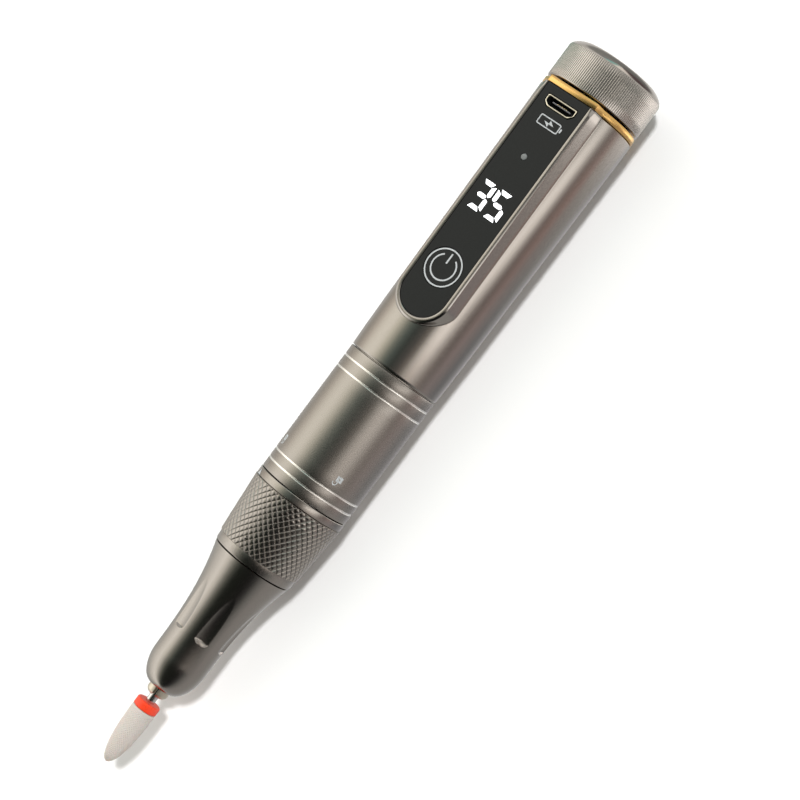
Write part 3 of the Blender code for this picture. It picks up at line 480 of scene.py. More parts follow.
def make_body():
    """The shell: a sweep around the U-shaped land, closed by full rings in front of it."""
    bm = bmesh.new()
    centre = WINDOW_FRONT + WINDOW_HALF_WIDTH
    arc_steps, straight_steps, around = 28, 34, 120
    edge = 0.16
    path = [(BODY_REAR, 0.0, edge), (BODY_REAR - edge, 0.0, 0.0)]
    path += [(BODY_REAR - back, 0.0, 0.0) for back in (0.5, 0.9, 1.3, 1.7)]
    straight = centre - BEVEL_FRONT
    path += [(BEVEL_FRONT + straight * k / straight_steps, 0.0, 0.0) for k in range(straight_steps + 1)]
    path += [(centre, math.pi / 2 * k / arc_steps, 0.0) for k in range(1, arc_steps + 1)]

    def arc_row(station, radius, across):
        first = math.degrees(math.asin(min(across / radius, 1)))
        angles = [first + (360 - 2 * first) * k / around for k in range(around + 1)]
        return add_row(bm, [on_pen(station, radius, a) for a in angles])

    sections = []
    for station, turn, lowered in path:
        outward = (-math.sin(turn), math.cos(turn))
        s = station + outward[0] * WINDOW_HALF_WIDTH
        y = outward[1] * WINDOW_HALF_WIDTH
        columns = land_columns(s, y, outward, lowered)
        left = add_row(bm, [at(a, b, h) for a, b, h in columns])
        right = add_row(bm, [at(a, -b, h) for a, b, h in columns])
        edge_station, edge_across, _ = columns[-1]
        outer = arc_row(edge_station, body_radius(edge_station) - lowered, edge_across)
        inner = arc_row(s, BODY_BORE - lowered, y)
        sections.append((left, right, outer, inner, columns))
    for first, second in zip(sections, sections[1:]):
        for side in (0, 1):
            one, two = first[side], second[side]
            for k in range(len(one) - 1):
                face = bm.faces.new((one[k], one[k + 1], two[k + 1], two[k]))
                face.material_index = 1 if RIM_CUT[0] < k <= RIM_CUT[1] else 0
        join_rows(bm, first[2], second[2], closed=False)
        join_rows(bm, first[3], second[3], closed=False)
    left, right, outer, inner, _ = sections[0]
    join_rows(bm, outer, inner, closed=False)
    bm.faces.new(left + [outer[-1], inner[-1]])
    bm.faces.new(right + [outer[0], inner[0]])

    land_front, round_edge_length, steps = sections[-1][4][-1][0], 0.3, 22
    length = BODY_FRONT + round_edge_length - land_front
    outside = [land_front + length * k / steps for k in range(1, steps + 1)]
    profile = [(s, body_radius(s)) for s in outside]
    front = body_radius(BODY_FRONT)
    profile += [(BODY_FRONT + back, front - low) for back, low in ((0.12, 0.04), (0.03, 0.14), (0, 0.3))]
    profile += [(BODY_FRONT, BODY_BORE), (SLEEVE_REAR, BODY_BORE)]
    rings = [arc_row(station, radius, 0) for station, radius in profile]
    stack(bm, [sections[-1][2], *rings, sections[-1][3]], closed=False)
    make_piece("housing_shell", bm, "housing", "body_aluminium", ["body_shell"],
               ["body_aluminium", "cut_edge"], weld=0.000002)


def make_panel():
    """The window's black sheet, with openings for the key, the lamp and the inlet."""
    gap, key_gap, lamp_gap, inlet_gap, chamfer = 0.07, 0.06, 0.04, 0.16, 0.07

    def edge(inset):
        drawn = gap + inset
        return u_outline(WINDOW_FRONT + drawn, BODY_REAR - 0.05 - inset, WINDOW_HALF_WIDTH - drawn)

    outlines = [edge, round_edge(KEY_STATION, KEY_RADIUS + key_gap, 96),
                round_edge(LAMP_STATION, LAMP_RADIUS + lamp_gap),
                lambda inset: inlet_outline(inlet_gap + inset)]
    bm = plate(outlines, PANEL_TOP - PANEL_THICKNESS, PANEL_TOP, chamfer, rise)
    make_piece("panel_plate", bm, "housing", "panel_black", ["control_panel"])


def make_key():
    """The round key, with the flange that holds it under the panel."""
    flange, flange_depth, gap = 0.6, 0.38, 0.02
    top = PANEL_TOP + rise(KEY_STATION)
    skirt = top - PANEL_THICKNESS - 0.37
    bm = plate([round_edge(KEY_STATION, KEY_RADIUS, 96, way=-1)], skirt, top, 0.07)
    rim = round_edge(KEY_STATION, KEY_RADIUS + flange, 96, way=-1)
    absorb(bm, plate([rim], skirt - gap - flange_depth, skirt - gap, 0.05))
    make_piece("power_key", bm, "button", "button_black", ["power_button"])


# ---------------------------------------------------------------- prints


def stroke_loop(points, width, closed=False):
    """The outline of a line of this width along points, with square ends."""
    count = len(points)
    left, right = [], []
    for i in range(count):
        before = Vector(points[i - 1 if closed or i else 0])
        after = Vector(points[(i + 1) % count if closed or i < count - 1 else i])
        along = (after - before).normalized()
        side = Vector((-along.y, along.x)) * width / 2
        left.append(tuple(Vector(points[i]) + side))
        right.append(tuple(Vector(points[i]) - side))
    if closed:
        return [left, right]
    return [left + right[::-1]]


def arc_points(centre, radius, start, end, steps=48):
    turns = [math.radians(start + (end - start) * k / steps) for k in range(steps + 1)]
    return [(centre[0] + radius * math.cos(t), centre[1] + radius * math.sin(t)) for t in turns]


def box_loop(low, high, corner=0.0):
    """A rectangle with rounded corners, from its lowest and highest points."""
    (a, b), (c, d) = low, high
    return softened_loop([(a, b, corner), (c, b, corner), (c, d, corner), (a, d, corner)])


def frame_loops(low, high, width, corner):
    """A rectangle drawn with a line of this width."""
    inner_low = (low[0] + width, low[1] + width)
    inner_high = (high[0] - width, high[1] - width)
    return [box_loop(low, high, corner), box_loop(inner_low, inner_high, corner * 0.6)]


INK, INK_FOOT = 0.02, 0.004  # the ink's thickness, and how far its foot is off the surface


def add_print(bm, shapes, place, thickness=INK, slices=None):
    """Thin raised ink. Each shape is a list of loops of (along, across) points in millimetres,
    and place(along, across, height) gives the point in metres. slices cuts it across, so that
    it can bend around the pen."""
    for loops in shapes:
        flat = bmesh.new()
        rows = [add_row(flat, [(x, y, 0) for x, y in loop]) for loop in loops]
        fill_flat(flat, rows)
        if slices:
            low = min(v.co.y for v in flat.verts)
            high = max(v.co.y for v in flat.verts)
            for k in range(1, int((high - low) / slices) + 1):
                everything = flat.verts[:] + flat.edges[:] + flat.faces[:]
                bmesh.ops.bisect_plane(flat, geom=everything, dist=1e-6,
                                       plane_co=(0, low + k * slices, 0), plane_no=(0, 1, 0))
        bmesh.ops.recalc_face_normals(flat, faces=flat.faces)
        made = bmesh.ops.extrude_face_region(flat, geom=flat.faces[:])
        raised = [g for g in made["geom"] if isinstance(g, bmesh.types.BMVert)]
        for v in raised:
            v.co.z = thickness
        for v in flat.verts:
            v.co = place(v.co.x, v.co.y, v.co.z)
        absorb(bm, flat)


def on_panel(station, across=0.0, slope=1.0):
    """Places ink on the panel: along runs to the dial, and across to -Y. On the level key the
    slope is 0."""
    def place(a, c, h):
        height = PANEL_TOP + INK_FOOT + h + rise(station + slope * a)
        return at(station + a, -across - c, height)

    return place


def on_round(station, angle, radius):
    """Places ink on a round part of the pen, with across measured along the surface."""
    base = radius + INK_FOOT
    return lambda a, c, h: on_pen(station + a, base + h, angle + math.degrees(c / radius))


SEGMENT, DIGIT_WIDTH, DIGIT_HEIGHT = 1.05, 4.3, 7.4
SEGMENT_CORNER, MITRE, GAP = 0.2, 0.62, 0.25
SEGMENTS_OF = {"3": "abgcd", "5": "afgcd"}
DIGITS = (("3", -2.87), ("5", 2.04))  # each digit and its place across the panel


def digit_segments(digit):
    """The lit bars of a seven-segment digit, centred on (0, 0), with along as its up."""
    w, h, t = DIGIT_WIDTH / 2, DIGIT_HEIGHT / 2, SEGMENT
    outer, inner = w - MITRE, w - t - GAP
    bars = {}
    for name, up in (("a", 1), ("d", -1)):
        bars[name] = [(up * h, -outer), (up * h, outer), (up * (h - t), inner), (up * (h - t), -inner)]
    for name, up, side in (("b", 1, 1), ("c", -1, 1), ("f", 1, -1)):
        bars[name] = [(up * (h - 0.45), side * w), (up * 0.6, side * w), (up * 0.2, side * (w - 0.68)),
                      (up * 0.7, side * (w - t)), (up * (h - t - 0.05), side * (w - t))]
    half, tip, corner = t / 2, w - 0.85, w - 1.36
    bars["g"] = [(0, -tip), (half, -corner), (half, corner), (0, tip), (-half, corner), (-half, -corner)]
    loops = [[(a, c, SEGMENT_CORNER) for a, c in bars[name]] for name in SEGMENTS_OF[digit]]
    return [[softened_loop(loop, 3)] for loop in loops]


def make_display():
    bm = bmesh.new()
    for digit, across in DIGITS:
        add_print(bm, digit_segments(digit), on_panel(DISPLAY_STATION, across))
    make_piece("speed_digits", bm, "housing", "panel_black", materials=["lit_segment"])


def make_key_marks():
    """The power mark: a circle, with a broken one and a bar in it."""
    bm = bmesh.new()
    circle = [stroke_loop(arc_points((0, 0), 4.5, 0, 357, 118), 0.34, closed=True)]
    broken = [stroke_loop(arc_points((0.1, 0), 3.12, 33, 327, 90), 0.36)]
    bar = [[box_loop((1.1, -0.2), (3.75, 0.2), 0.12)]]
    add_print(bm, circle + broken + bar, on_panel(KEY_STATION, 0.1, slope=0))
    make_piece("power_marks", bm, "button", "button_black", materials=["print_grey"])


def make_charge_mark():
    """A battery with a bolt in it, in place of lettering."""
    bm = bmesh.new()
    case = frame_loops((-1.25, -3.2), (1.25, 2.8), 0.27, 0.45)
    cap = [box_loop((-0.5, 3.0), (0.5, 3.4), 0.12)]
    bolt = [[(0.12, -1.6), (-0.85, -0.2), (-0.1, -0.2), (-0.12, 1.2), (0.85, -0.2), (0.1, -0.2)]]
    add_print(bm, [case, cap, bolt], on_panel(MARK_STATION, 0.4))
    make_piece("charge_mark", bm, "housing", "panel_black", materials=["print_white"])


LOCKED, UNLOCKED = -45, 48  # the padlocks' angles around the pen
PADLOCK_STATION, ARROW_STATION, ARROW_RADIUS, MARK_SLICE = 64.1, 55.0, 11.93, 0.2


def make_lock_marks():
    """A closed and an open padlock on the collar, and the arrow on the lock ring."""
    bm = bmesh.new()
    for angle, opened in ((LOCKED, False), (UNLOCKED, True)):
        case = [box_loop((0.1, -0.75), (1.5, 0.75), 0.2), ring_points(0.8, 0, 0.2, 16)]
        end, shift = (290, -0.62) if opened else (270, 0)
        shackle = arc_points((-0.35, shift), 0.5, 90, end, 24)
        legs = [(0.05, shift + 0.5)] + shackle + ([] if opened else [(0.05, -0.5)])
        place = on_round(PADLOCK_STATION, angle, COLLAR_RADIUS)
        add_print(bm, [case, stroke_loop(legs, 0.26)], place, slices=MARK_SLICE)
    make_piece("lock_marks", bm, "housing", "collar_aluminium", materials=["print_white"])
    bm = bmesh.new()
    arrow = [[(0.75, 0.0), (-0.65, 0.85), (-0.65, -0.85)]]
    add_print(bm, [arrow], on_round(ARROW_STATION, LOCKED, ARROW_RADIUS), slices=MARK_SLICE)
    make_piece("ring_arrow", bm, "lock_ring", "ring_aluminium", materials=["print_white"])


# ---------------------------------------------------------------- panel fittings


def make_lamp():
    """The light pipe: a wide foot under the panel and a small round window."""
    foot, step, foot_radius = 8.8, 11.2, 1.2
    top = PANEL_TOP + rise(LAMP_STATION)
    bm = bmesh.new()
    rows = []
    for height, radius in ((foot, foot_radius), (step, foot_radius), (step + 0.05, LAMP_RADIUS),
                           (top - 0.06, LAMP_RADIUS), (top + 0.01, LAMP_RADIUS - 0.06), (top + 0.04, 0.4)):
        points = ring_points(LAMP_STATION, 0, radius, 32)
        rows.append(add_row(bm, [at(s, y, height) for s, y in points]))
    stack(bm, rows, capped=True)
    make_piece("indicator_dot", bm, "housing", "indicator_lens", ["charge_indicator"])


def make_inlet():
    """The plated socket with a rolled rim, and the tongue with its five contacts."""
    foot, floor, wall = 8.4, 9.0, 0.34
    top = PANEL_TOP + rise(INLET_STATION)
    levels = ((foot, 0), (top - 0.1, 0), (top + 0.02, -0.05), (top + 0.06, -0.16),
              (top + 0.02, -0.28), (top - 0.12, -wall), (floor, -wall))
    bm = bmesh.new()
    rows = []
    for height, inset in levels:
        rows.append(add_row(bm, [at(s, y, height) for s, y in inlet_outline(inset)]))
    stack(bm, rows[:-1])
    # The shell's inner wall and floor are given the panel's black in place of the plated metal: painted
    # shade inside the socket.
    join_rows(bm, rows[-2], rows[-1], material=1)
    bm.faces.new(rows[0])
    bm.faces.new(rows[-1]).material_index = 1
    make_piece("inlet_shell", bm, "housing", "socket_metal", ["usb_socket_shell"],
               ["socket_metal", "panel_black"])

    thick, half_width, contacts, contact_step = 0.14, 2.6, 5, 0.65
    base = floor + 0.3
    height = top - 0.75 - base

    def place(a, c, h):
        return at(INLET_STATION + 0.15 + a, c, base + h)

    bm = bmesh.new()
    add_print(bm, [[box_loop((-thick, -half_width), (thick, half_width), 0.08)]], place, thickness=height)
    make_piece("inlet_tongue", bm, "housing", "socket_tongue", ["usb_socket_tongue"])
    bm = bmesh.new()
    shapes = []
    for k in range(contacts):
        across = (k - 2) * contact_step
        shapes.append([box_loop((thick + 0.01, across - 0.2), (thick + 0.08, across + 0.2))])
    add_print(bm, shapes, place, thickness=height - 0.15)
    make_piece("inlet_contacts", bm, "housing", "socket_metal", materials=["contact_gold"])


def make_trim():
    """The gold plate between body and dial, with the body's outline and a hole in its middle."""
    half, steps, hole = 7.0, 180, 3.5
    edge = ((0, 0.16), (0.05, 0.06), (0.16, 0))  # the rounded edge: how far in, and how much lower
    first = math.degrees(math.asin((half + 0.9) / TRIM_RADIUS))
    outline = [(-half, LAND_TOP - 0.25), (-half + 0.4, LAND_TOP), (0, LAND_TOP),
               (half - 0.4, LAND_TOP), (half, LAND_TOP - 0.25)]
    for k in range(steps + 1):
        turn = math.radians(first + (360 - 2 * first) * k / steps)
        outline.append((TRIM_RADIUS * math.sin(turn), TRIM_RADIUS * math.cos(turn)))
    levels = [(TRIM_FRONT, None)] + [(TRIM_FRONT + back, low) for back, low in edge]
    levels += [(TRIM_REAR - back, low) for back, low in edge[::-1]] + [(TRIM_REAR, None)]
    bm = bmesh.new()
    rows = []
    for station, inset in levels:
        points = []
        for across, height in outline:
            length = math.hypot(across, height)
            share = hole / length if inset is None else 1 - inset / length
            points.append(at(station, -across * share, height * share))
        rows.append(add_row(bm, points))
    stack(bm, rows + rows[:1])
    make_piece("tail_trim", bm, "housing", "gold_aluminium", ["tail_trim_ring"])


# ---------------------------------------------------------------- turned pieces

RIBS, RIB_DEPTH = 144, 0.065
# One rib: shares of its width, and the share of the depth that is cut away there
RIB_FORM = ((0.0, 1.0), (0.06, 0.75), (0.12, 0.2), (0.18, 0.0),
            (0.5, 0.0), (0.82, 0.0), (0.88, 0.2), (0.94, 0.75))
LIP_LENGTH, LIP_FALL, LIP_ROUND = 2.15, 2.9, 1.3


def make_dial():
    """The knurled speed dial: fine straight ribs and a polished, rounded lip."""
    rib_front, rib_rear, rib_fade = DIAL_FRONT + 0.3, DIAL_END - 2.2, 0.12
    hollow, rim, lip = 11.0, DIAL_RADIUS - 0.02, DIAL_RADIUS - 0.06
    outer = [(DIAL_FRONT, hollow, 0), (DIAL_FRONT, DIAL_RADIUS - 0.2, 0.12),
             (DIAL_FRONT + 0.2, rim, 0.08), (rib_front, rim, 0)]
    ribs = [(rib_front + 0.001, rim), (rib_front + rib_fade, DIAL_RADIUS)]
    straight = rib_rear - rib_front - 2 * rib_fade
    ribs += [(rib_front + rib_fade + straight * k / 4, DIAL_RADIUS) for k in range(1, 5)]
    ribs.append((rib_rear - 0.001, rim))
    inner = lip - LIP_FALL
    end = [(rib_rear, lip, 0)]
    for k in range(13):
        turn = math.pi / 2 * k / 12
        station = DIAL_END - LIP_LENGTH + LIP_LENGTH * math.sin(turn) ** LIP_ROUND
        end.append((station, inner + LIP_FALL * math.cos(turn) ** LIP_ROUND, 0))
    face = [(DIAL_END, inner - 0.1, 0), (DIAL_END - 0.1, inner - 0.25, 0),
            (DIAL_END - 0.12, inner - 0.7, 0), (DIAL_END - 0.12, 0.0, 0)]
    profile = softened(outer) + ribs + softened(end + face)
    profile += [(DIAL_END - 2, 0.0), (DIAL_END - 2, hollow)]
    angles = [360 * (k + share) / RIBS for k in range(RIBS) for share, _ in RIB_FORM]
    depths = [low for _ in range(RIBS) for _, low in RIB_FORM]
    bm = bmesh.new()
    rows = []
    for station, radius in profile:
        cut = RIB_DEPTH if rib_front + 0.1 < station < rib_rear - 0.1 else 0
        rows.append(add_row(bm, [on_pen(station, radius - cut * low, a) for a, low in zip(angles, depths)]))
    for i, (station, radius) in enumerate(profile):
        after = (i + 1) % len(profile)
        flat = min(station, profile[after][0]) > DIAL_END - 0.2 and radius <= inner
        behind_ribs = (station + profile[after][0]) / 2 > rib_rear
        join_rows(bm, rows[i], rows[after], material=2 if flat else int(behind_ribs))
    make_piece("dial_knob", bm, "dial", "dial_aluminium", ["speed_dial"],
               ["dial_aluminium", "dial_lip", "dial_end"])


def make_collar():
    """The long sleeve with four bright turned lines."""
    edge, wide, deep, corner = 0.22, 0.24, 0.12, 0.03
    top, groove, tube = COLLAR_RADIUS, COLLAR_RADIUS - deep, BODY_BORE - 0.3
    corners = [(SLEEVE_REAR, tube, 0), (COLLAR_REAR, tube, 0), (COLLAR_REAR, top, edge)]
    bands = []
    for line in reversed(COLLAR_LINES):
        for off, radius in ((wide, top), (wide * 0.6, groove), (-wide * 0.6, groove), (-wide, top)):
            corners.append((line + off, radius, corner))
        bands.append((line - wide * 0.98, line + wide * 0.98, 1))
    corners += [(COLLAR_FRONT, top, edge), (COLLAR_FRONT, COLLAR_BORE, 0), (SLEEVE_REAR, COLLAR_BORE, 0)]
    profile = softened(corners, 3)
    filled = []
    for (s0, r0), (s1, r1) in zip(profile, profile[1:]):
        steps = max(1, int(abs(s1 - s0) / 2.5))
        filled += [(s0 + (s1 - s0) * k / steps, r0 + (r1 - r0) * k / steps) for k in range(steps)]
    filled.append(profile[-1])
    bm = bmesh.new()
    add_turned(bm, filled, 160, bands=bands)
    make_piece("collar_skin", bm, "housing", "collar_aluminium", ["collar_sleeve"],
               ["collar_aluminium", "cut_line"])


KNURL_STARTS, KNURL_PITCH, KNURL_DEPTH = 43, 1.85, 0.16
KNURL_LINES = ((0.0, 1.0), (0.05, 0.8), (0.12, 0.14), (0.16, 0.0),
               (0.5, 0.0), (0.84, 0.0), (0.88, 0.14), (0.95, 0.8))


def knurl_radius(station):
    reach = (station - KNURL_FRONT) / (KNURL_REAR - KNURL_FRONT)
    return KNURL_FRONT_RADIUS + (KNURL_REAR_RADIUS - KNURL_FRONT_RADIUS) * reach


def bridge(bm, row, rim):
    """Joins a turned row to the rim of a grooved sleeve."""
    edges = [bm.edges.get((a, b)) for a, b in zip(row, row[1:] + row[:1])]
    bmesh.ops.bridge_loops(bm, edges=rim + edges)


def make_lock_ring():
    """The twist ring: flat-topped diamonds between two plain bands."""
    bm = bmesh.new()
    crossed_grooves(bm, KNURL_STARTS, KNURL_PITCH, KNURL_FRONT, KNURL_REAR, knurl_radius,
                    KNURL_DEPTH, KNURL_LINES)
    front_rim, rear_rim = rim_edges(bm, KNURL_FRONT), rim_edges(bm, KNURL_REAR)
    front, rear = KNURL_FRONT_RADIUS - 0.3, KNURL_REAR_RADIUS - 0.07
    foot = rear - 0.32
    corners = [(KNURL_REAR, foot, 0), (KNURL_REAR + 0.12, foot, 0.04), (KNURL_REAR + 0.36, rear, 0.05),
               (RING_REAR, rear - 0.04, 0.2), (RING_REAR, RING_BORE, 0), (RING_FRONT, RING_BORE, 0),
               (RING_FRONT, front - 0.1, 0.2), (KNURL_FRONT - 0.1, front + 0.05, 0.06),
               (KNURL_FRONT, front - 0.1, 0)]
    bands = [(KNURL_REAR + 0.1, KNURL_REAR + 0.37, 1), (RING_REAR - 0.17, RING_REAR + 0.1, 0)]
    rows = add_turned(bm, softened(corners), 256, closed=False, bands=bands)
    bridge(bm, rows[0], rear_rim)
    bridge(bm, rows[-1], front_rim)
    make_piece("knurled_ring", bm, "lock_ring", "ring_aluminium", ["lock_ring"],
               ["ring_aluminium", "cut_edge"], sharp=25)


NOSE_TIP_RADIUS, WAIST, WAIST_RADIUS, FLARE = 3.4, 7.7, 6.95, 3.35


def nose_radius(station):
    """A blunt tip up to the waist, then a trumpet flare to the lock ring."""
    if station < WAIST:
        share = (1 - (1 - station / WAIST) ** 2) ** 0.6
        return NOSE_TIP_RADIUS + (WAIST_RADIUS - NOSE_TIP_RADIUS) * share
    return WAIST_RADIUS + FLARE * ((station - WAIST) / (NOSE_REAR - WAIST)) ** 2.6


FLUTE_ANGLE, FLUTES, FLUTE_CURVE, FLUTE_DEPTH = 36.0, 6, 3.2, 0.52
FLUTE_FRONT, FLUTE_FADE, FLUTE_END_CURVE = 15.7, 28.0, 1.0


def flute_cut(station, radius, angle):
    """How deep the six finger flutes cut here. Each has a half-round front end."""
    step = 360 / FLUTES
    off = (angle - FLUTE_ANGLE + step / 2) % step - step / 2
    across = radius * math.radians(off)
    ahead = max(0.0, FLUTE_FRONT - station)
    behind = max(0.0, station - FLUTE_FRONT) / (FLUTE_FADE - FLUTE_FRONT)
    depth = FLUTE_DEPTH * (1 - behind**2) - ahead**2 / (2 * FLUTE_END_CURVE)
    return max(0.0, depth - across**2 / (2 * FLUTE_CURVE))


def make_nose():
    """The nose cone with its finger flutes, hollow for the collet and the spindle."""
    bore, room, mouth, room_front, room_rear = 3.05, 5.6, 7.8, 5.2, 29.5
    coarse, fine = 0.45, 0.16  # steps along the nose, fine where the flutes begin
    back = nose_radius(NOSE_REAR)
    outside = [(NOSE_REAR - 0.1, back - 0.03)]
    station = NOSE_REAR - 0.25
    while station > 0.35:
        outside.append((station, nose_radius(station)))
        station -= fine if 13.5 < station < 20.0 else coarse
    outside += [(0.3, nose_radius(0.3)), (0.15, nose_radius(0.15)), (0.05, 3.6), (0.0, 3.5)]
    inside = [(0.0, bore + 0.15), (0.12, bore), (room_front, bore), (room_front, room),
              (room_rear, room), (room_rear, mouth), (NOSE_REAR, mouth), (NOSE_REAR, back - 0.15)]

    def shape(s, r, a):
        return r - flute_cut(s, r, a) if (s, r) in outside else r

    bm = bmesh.new()
    add_turned(bm, outside + inside, 288, shape=shape)
    make_piece("nose_skin", bm, "housing", "nose_aluminium", ["nose_cone"], sharp=40)


# ---------------------------------------------------------------- bit


def make_collet():
    """The collet's split front, with three slots and a chamfer."""
    slots, per_jaw, half_slot, first_slot = 3, 14, 0.5, 18
    front, step, rear, bore, neck, head = -2.2, 4.0, 9.0, 1.25, 2.4, 2.7
    corners = [(rear, neck, 0), (step, neck, 0), (step, head, 0), (front + 0.7, head, 0.15),
               (front, 2.2, 0.15), (front, 1.45, 0.06), (front + 0.2, bore, 0.05), (rear, bore, 0)]
    profile = softened(corners, 3)
    bm = bmesh.new()
    for jaw in range(slots):
        rows = []
        for station, radius in profile:
            gap = math.degrees(half_slot / radius)
            first = first_slot + 360 / slots * jaw + gap
            last = first_slot + 360 / slots * (jaw + 1) - gap
            angles = [first + (last - first) * k / per_jaw for k in range(per_jaw + 1)]
            rows.append(add_row(bm, [on_pen(station, radius, a) for a in angles]))
        stack(bm, rows + rows[:1], closed=False)
        bm.faces.new([row[0] for row in rows])
        bm.faces.new([row[-1] for row in rows])
    make_piece("collet_jaws", bm, "spindle", "collet_steel", ["collet"])


def make_bit():
    """The bit's shank, and the orange ring that shows its grit."""
    bm = bmesh.new()
    corners = [(SHANK_REAR, 0.0, 0), (SHANK_REAR, SHANK_RADIUS, 0.15),
               (SHANK_FRONT, SHANK_RADIUS, 0.1), (SHANK_FRONT, 0.0, 0)]
    add_turned(bm, softened(corners), 48, closed=False)
    make_piece("shank", bm, "bit", "steel", ["bit_shank"], ["shank_steel"])

    front, rear, radius = -6.5, -4.4, 3.08
    corners = [(rear, BIT_BORE, 0), (rear, radius, 0.42), (front, radius, 0.3), (front, BIT_BORE, 0)]
    bm = bmesh.new()
    add_turned(bm, softened(corners, 6), 96)
    make_piece("grit_ring", bm, "bit", "grit_orange", ["bit_colour_ring"])


HEAD_STARTS, HEAD_PITCH, HEAD_DEPTH = 26, 0.78, 0.17
HEAD_LINES = ((0.0, 1.0), (0.2, 0.55), (0.42, 0.0), (0.58, 0.0), (0.8, 0.55))


def head_radius(station):
    reach = min(max((HEAD_REAR - station) / (HEAD_REAR - HEAD_TIP), 0), 0.9999)
    return HEAD_RADIUS * (1 - reach**2.6) ** 0.505


def make_head():
    """The ceramic bur: small cross-cut teeth on a tapered, round-ended form."""
    bm = bmesh.new()
    front, rear = HEAD_TIP + 0.35, HEAD_REAR - 0.55
    crossed_grooves(bm, HEAD_STARTS, HEAD_PITCH, front, rear, head_radius, HEAD_DEPTH, HEAD_LINES)
    front_rim, rear_rim = rim_edges(bm, front), rim_edges(bm, rear)
    back, foot = HEAD_REAR + 0.1, HEAD_RADIUS - 0.08
    corners = [(rear, head_radius(rear) - 0.08, 0), (back, foot, 0.06), (back, BIT_BORE, 0),
               (SHANK_FRONT, BIT_BORE, 0), (SHANK_FRONT, 0.0, 0)]
    rows = add_turned(bm, softened(corners), 96, closed=False)
    bridge(bm, rows[0], rear_rim)
    tip = bm.verts.new(on_pen(HEAD_TIP, 0, 0))
    for edge in front_rim:
        bm.faces.new((*edge.verts, tip))
    make_piece("bur_head", bm, "bit", "ceramic", ["bit_head"], sharp=50)


# ---------------------------------------------------------------- inside


def make_spring():
    """The release spring, a round wire with closed ends."""
    radius, wire, turns = 5.2, 0.45, 5
    front, rear, seat = 52.9, 60.55, 61.0
    steps, sides = turns * 28, 10
    along = Vector((1, 0, 0))
    bm = bmesh.new()
    rows = []
    for i in range(steps + 1):
        share = i / steps
        turn = 2 * math.pi * turns * share
        station = front + (rear - front) * share
        out = Vector((0, math.sin(turn), math.cos(turn)))
        centre = Vector(at(station, 0, 0)) + MM * radius * out
        points = []
        for k in range(sides):
            a = 2 * math.pi * k / sides
            points.append(centre + MM * wire * (out * math.cos(a) + along * math.sin(a)))
        rows.append(add_row(bm, points))
    stack(bm, rows, capped=True)
    spring = make_piece("lock_spring", bm, "housing", "spring_steel", ["release_spring"])
    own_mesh(spring)


SLOTS = {row["node"]: row["material_slot"] for row in frame["record"]["subparts"]}


def finish_inner_pieces():
    """The carried-over pieces inside the pen keep their shapes and get full materials."""
    for name, obj in NODES.items():
        if obj.hide_render:
            continue
        obj.data.materials.clear()
        obj.data.materials.append(MATERIALS[SLOTS[name]])


# ---------------------------------------------------------------- studio

# Brightness of the studio around the pen, in degrees from straight up towards -Y. It also
# changes along the pen: a view ray that reflects towards -X sees the first table.
LEFT = (
    (-180, 0.55, 0.54, 0.56), (-125, 0.7, 0.68, 0.65), (-105, 0.7, 0.66, 0.6),
    (-95, 0.88, 0.81, 0.73), (-85, 1.15, 1.06, 0.96), (-75, 1.48, 1.41, 1.27),
    (-65, 1.7, 1.64, 1.49), (-55, 1.8, 1.75, 1.6), (-45, 1.75, 1.69, 1.54),
    (-35, 1.42, 1.38, 1.2), (-25, 0.92, 0.91, 0.78), (-15, 0.42, 0.46, 0.4),
    (-5, 0.2, 0.25, 0.23),
)
AT_NOSE = (
    (-180, 0.65, 0.65, 0.65), (-125, 0.62, 0.62, 0.6), (-105, 0.95, 0.93, 0.88),
    (-55, 1.9, 1.85, 1.76), (-38, 1.3, 1.26, 1.17), (-25, 0.52, 0.52, 0.47),
    (-15, 0.22, 0.23, 0.2), (-5, 0.07, 0.08, 0.07), (4, 0.02, 0.025, 0.02),
    (50, 0.02, 0.02, 0.02), (64, 0.07, 0.07, 0.07), (84, 0.34, 0.34, 0.33),
    (104, 0.52, 0.5, 0.49), (144, 0.55, 0.54, 0.53), (179, 0.65, 0.65, 0.65),
)
AT_COLLAR = LEFT + (
    (8, 0.1, 0.12, 0.11), (24, 0.2, 0.19, 0.18), (35, 0.44, 0.4, 0.36),
    (45, 0.88, 0.82, 0.76), (57, 1.16, 1.03, 0.94), (66, 1.02, 0.92, 0.85),
    (75, 0.78, 0.72, 0.68), (85, 0.52, 0.45, 0.42), (95, 0.4, 0.36, 0.35),
    (114, 0.5, 0.45, 0.46), (144, 0.33, 0.34, 0.36), (179, 0.55, 0.54, 0.56),
)
AT_BODY_FRONT = LEFT + (
    (8, 0.09, 0.11, 0.1), (24, 0.18, 0.17, 0.16), (35, 0.42, 0.38, 0.34),
    (43, 1.9, 1.84, 1.78), (50, 3.0, 2.9, 2.82), (60, 3.15, 3.04, 2.95),
    (68, 2.0, 1.92, 1.86), (75, 1.05, 0.99, 0.96), (85, 0.38, 0.33, 0.31),
    (95, 0.3, 0.26, 0.25), (112, 0.58, 0.47, 0.47), (144, 0.33, 0.34, 0.36),
    (179, 0.55, 0.54, 0.56),
)
AT_BODY_REAR = LEFT + (
    (8, 0.09, 0.11, 0.1), (35, 0.24, 0.23, 0.22), (46, 0.42, 0.4, 0.38),
    (57, 0.62, 0.58, 0.54), (62, 1.6, 1.55, 1.48), (69, 2.5, 2.4, 2.32),
    (77, 2.3, 2.2, 2.12), (86, 1.0, 0.92, 0.88), (94, 0.42, 0.32, 0.3),
    (110, 0.56, 0.37, 0.33), (123, 0.42, 0.39, 0.38), (144, 0.5, 0.49, 0.49),
    (179, 0.6, 0.59, 0.6),
)
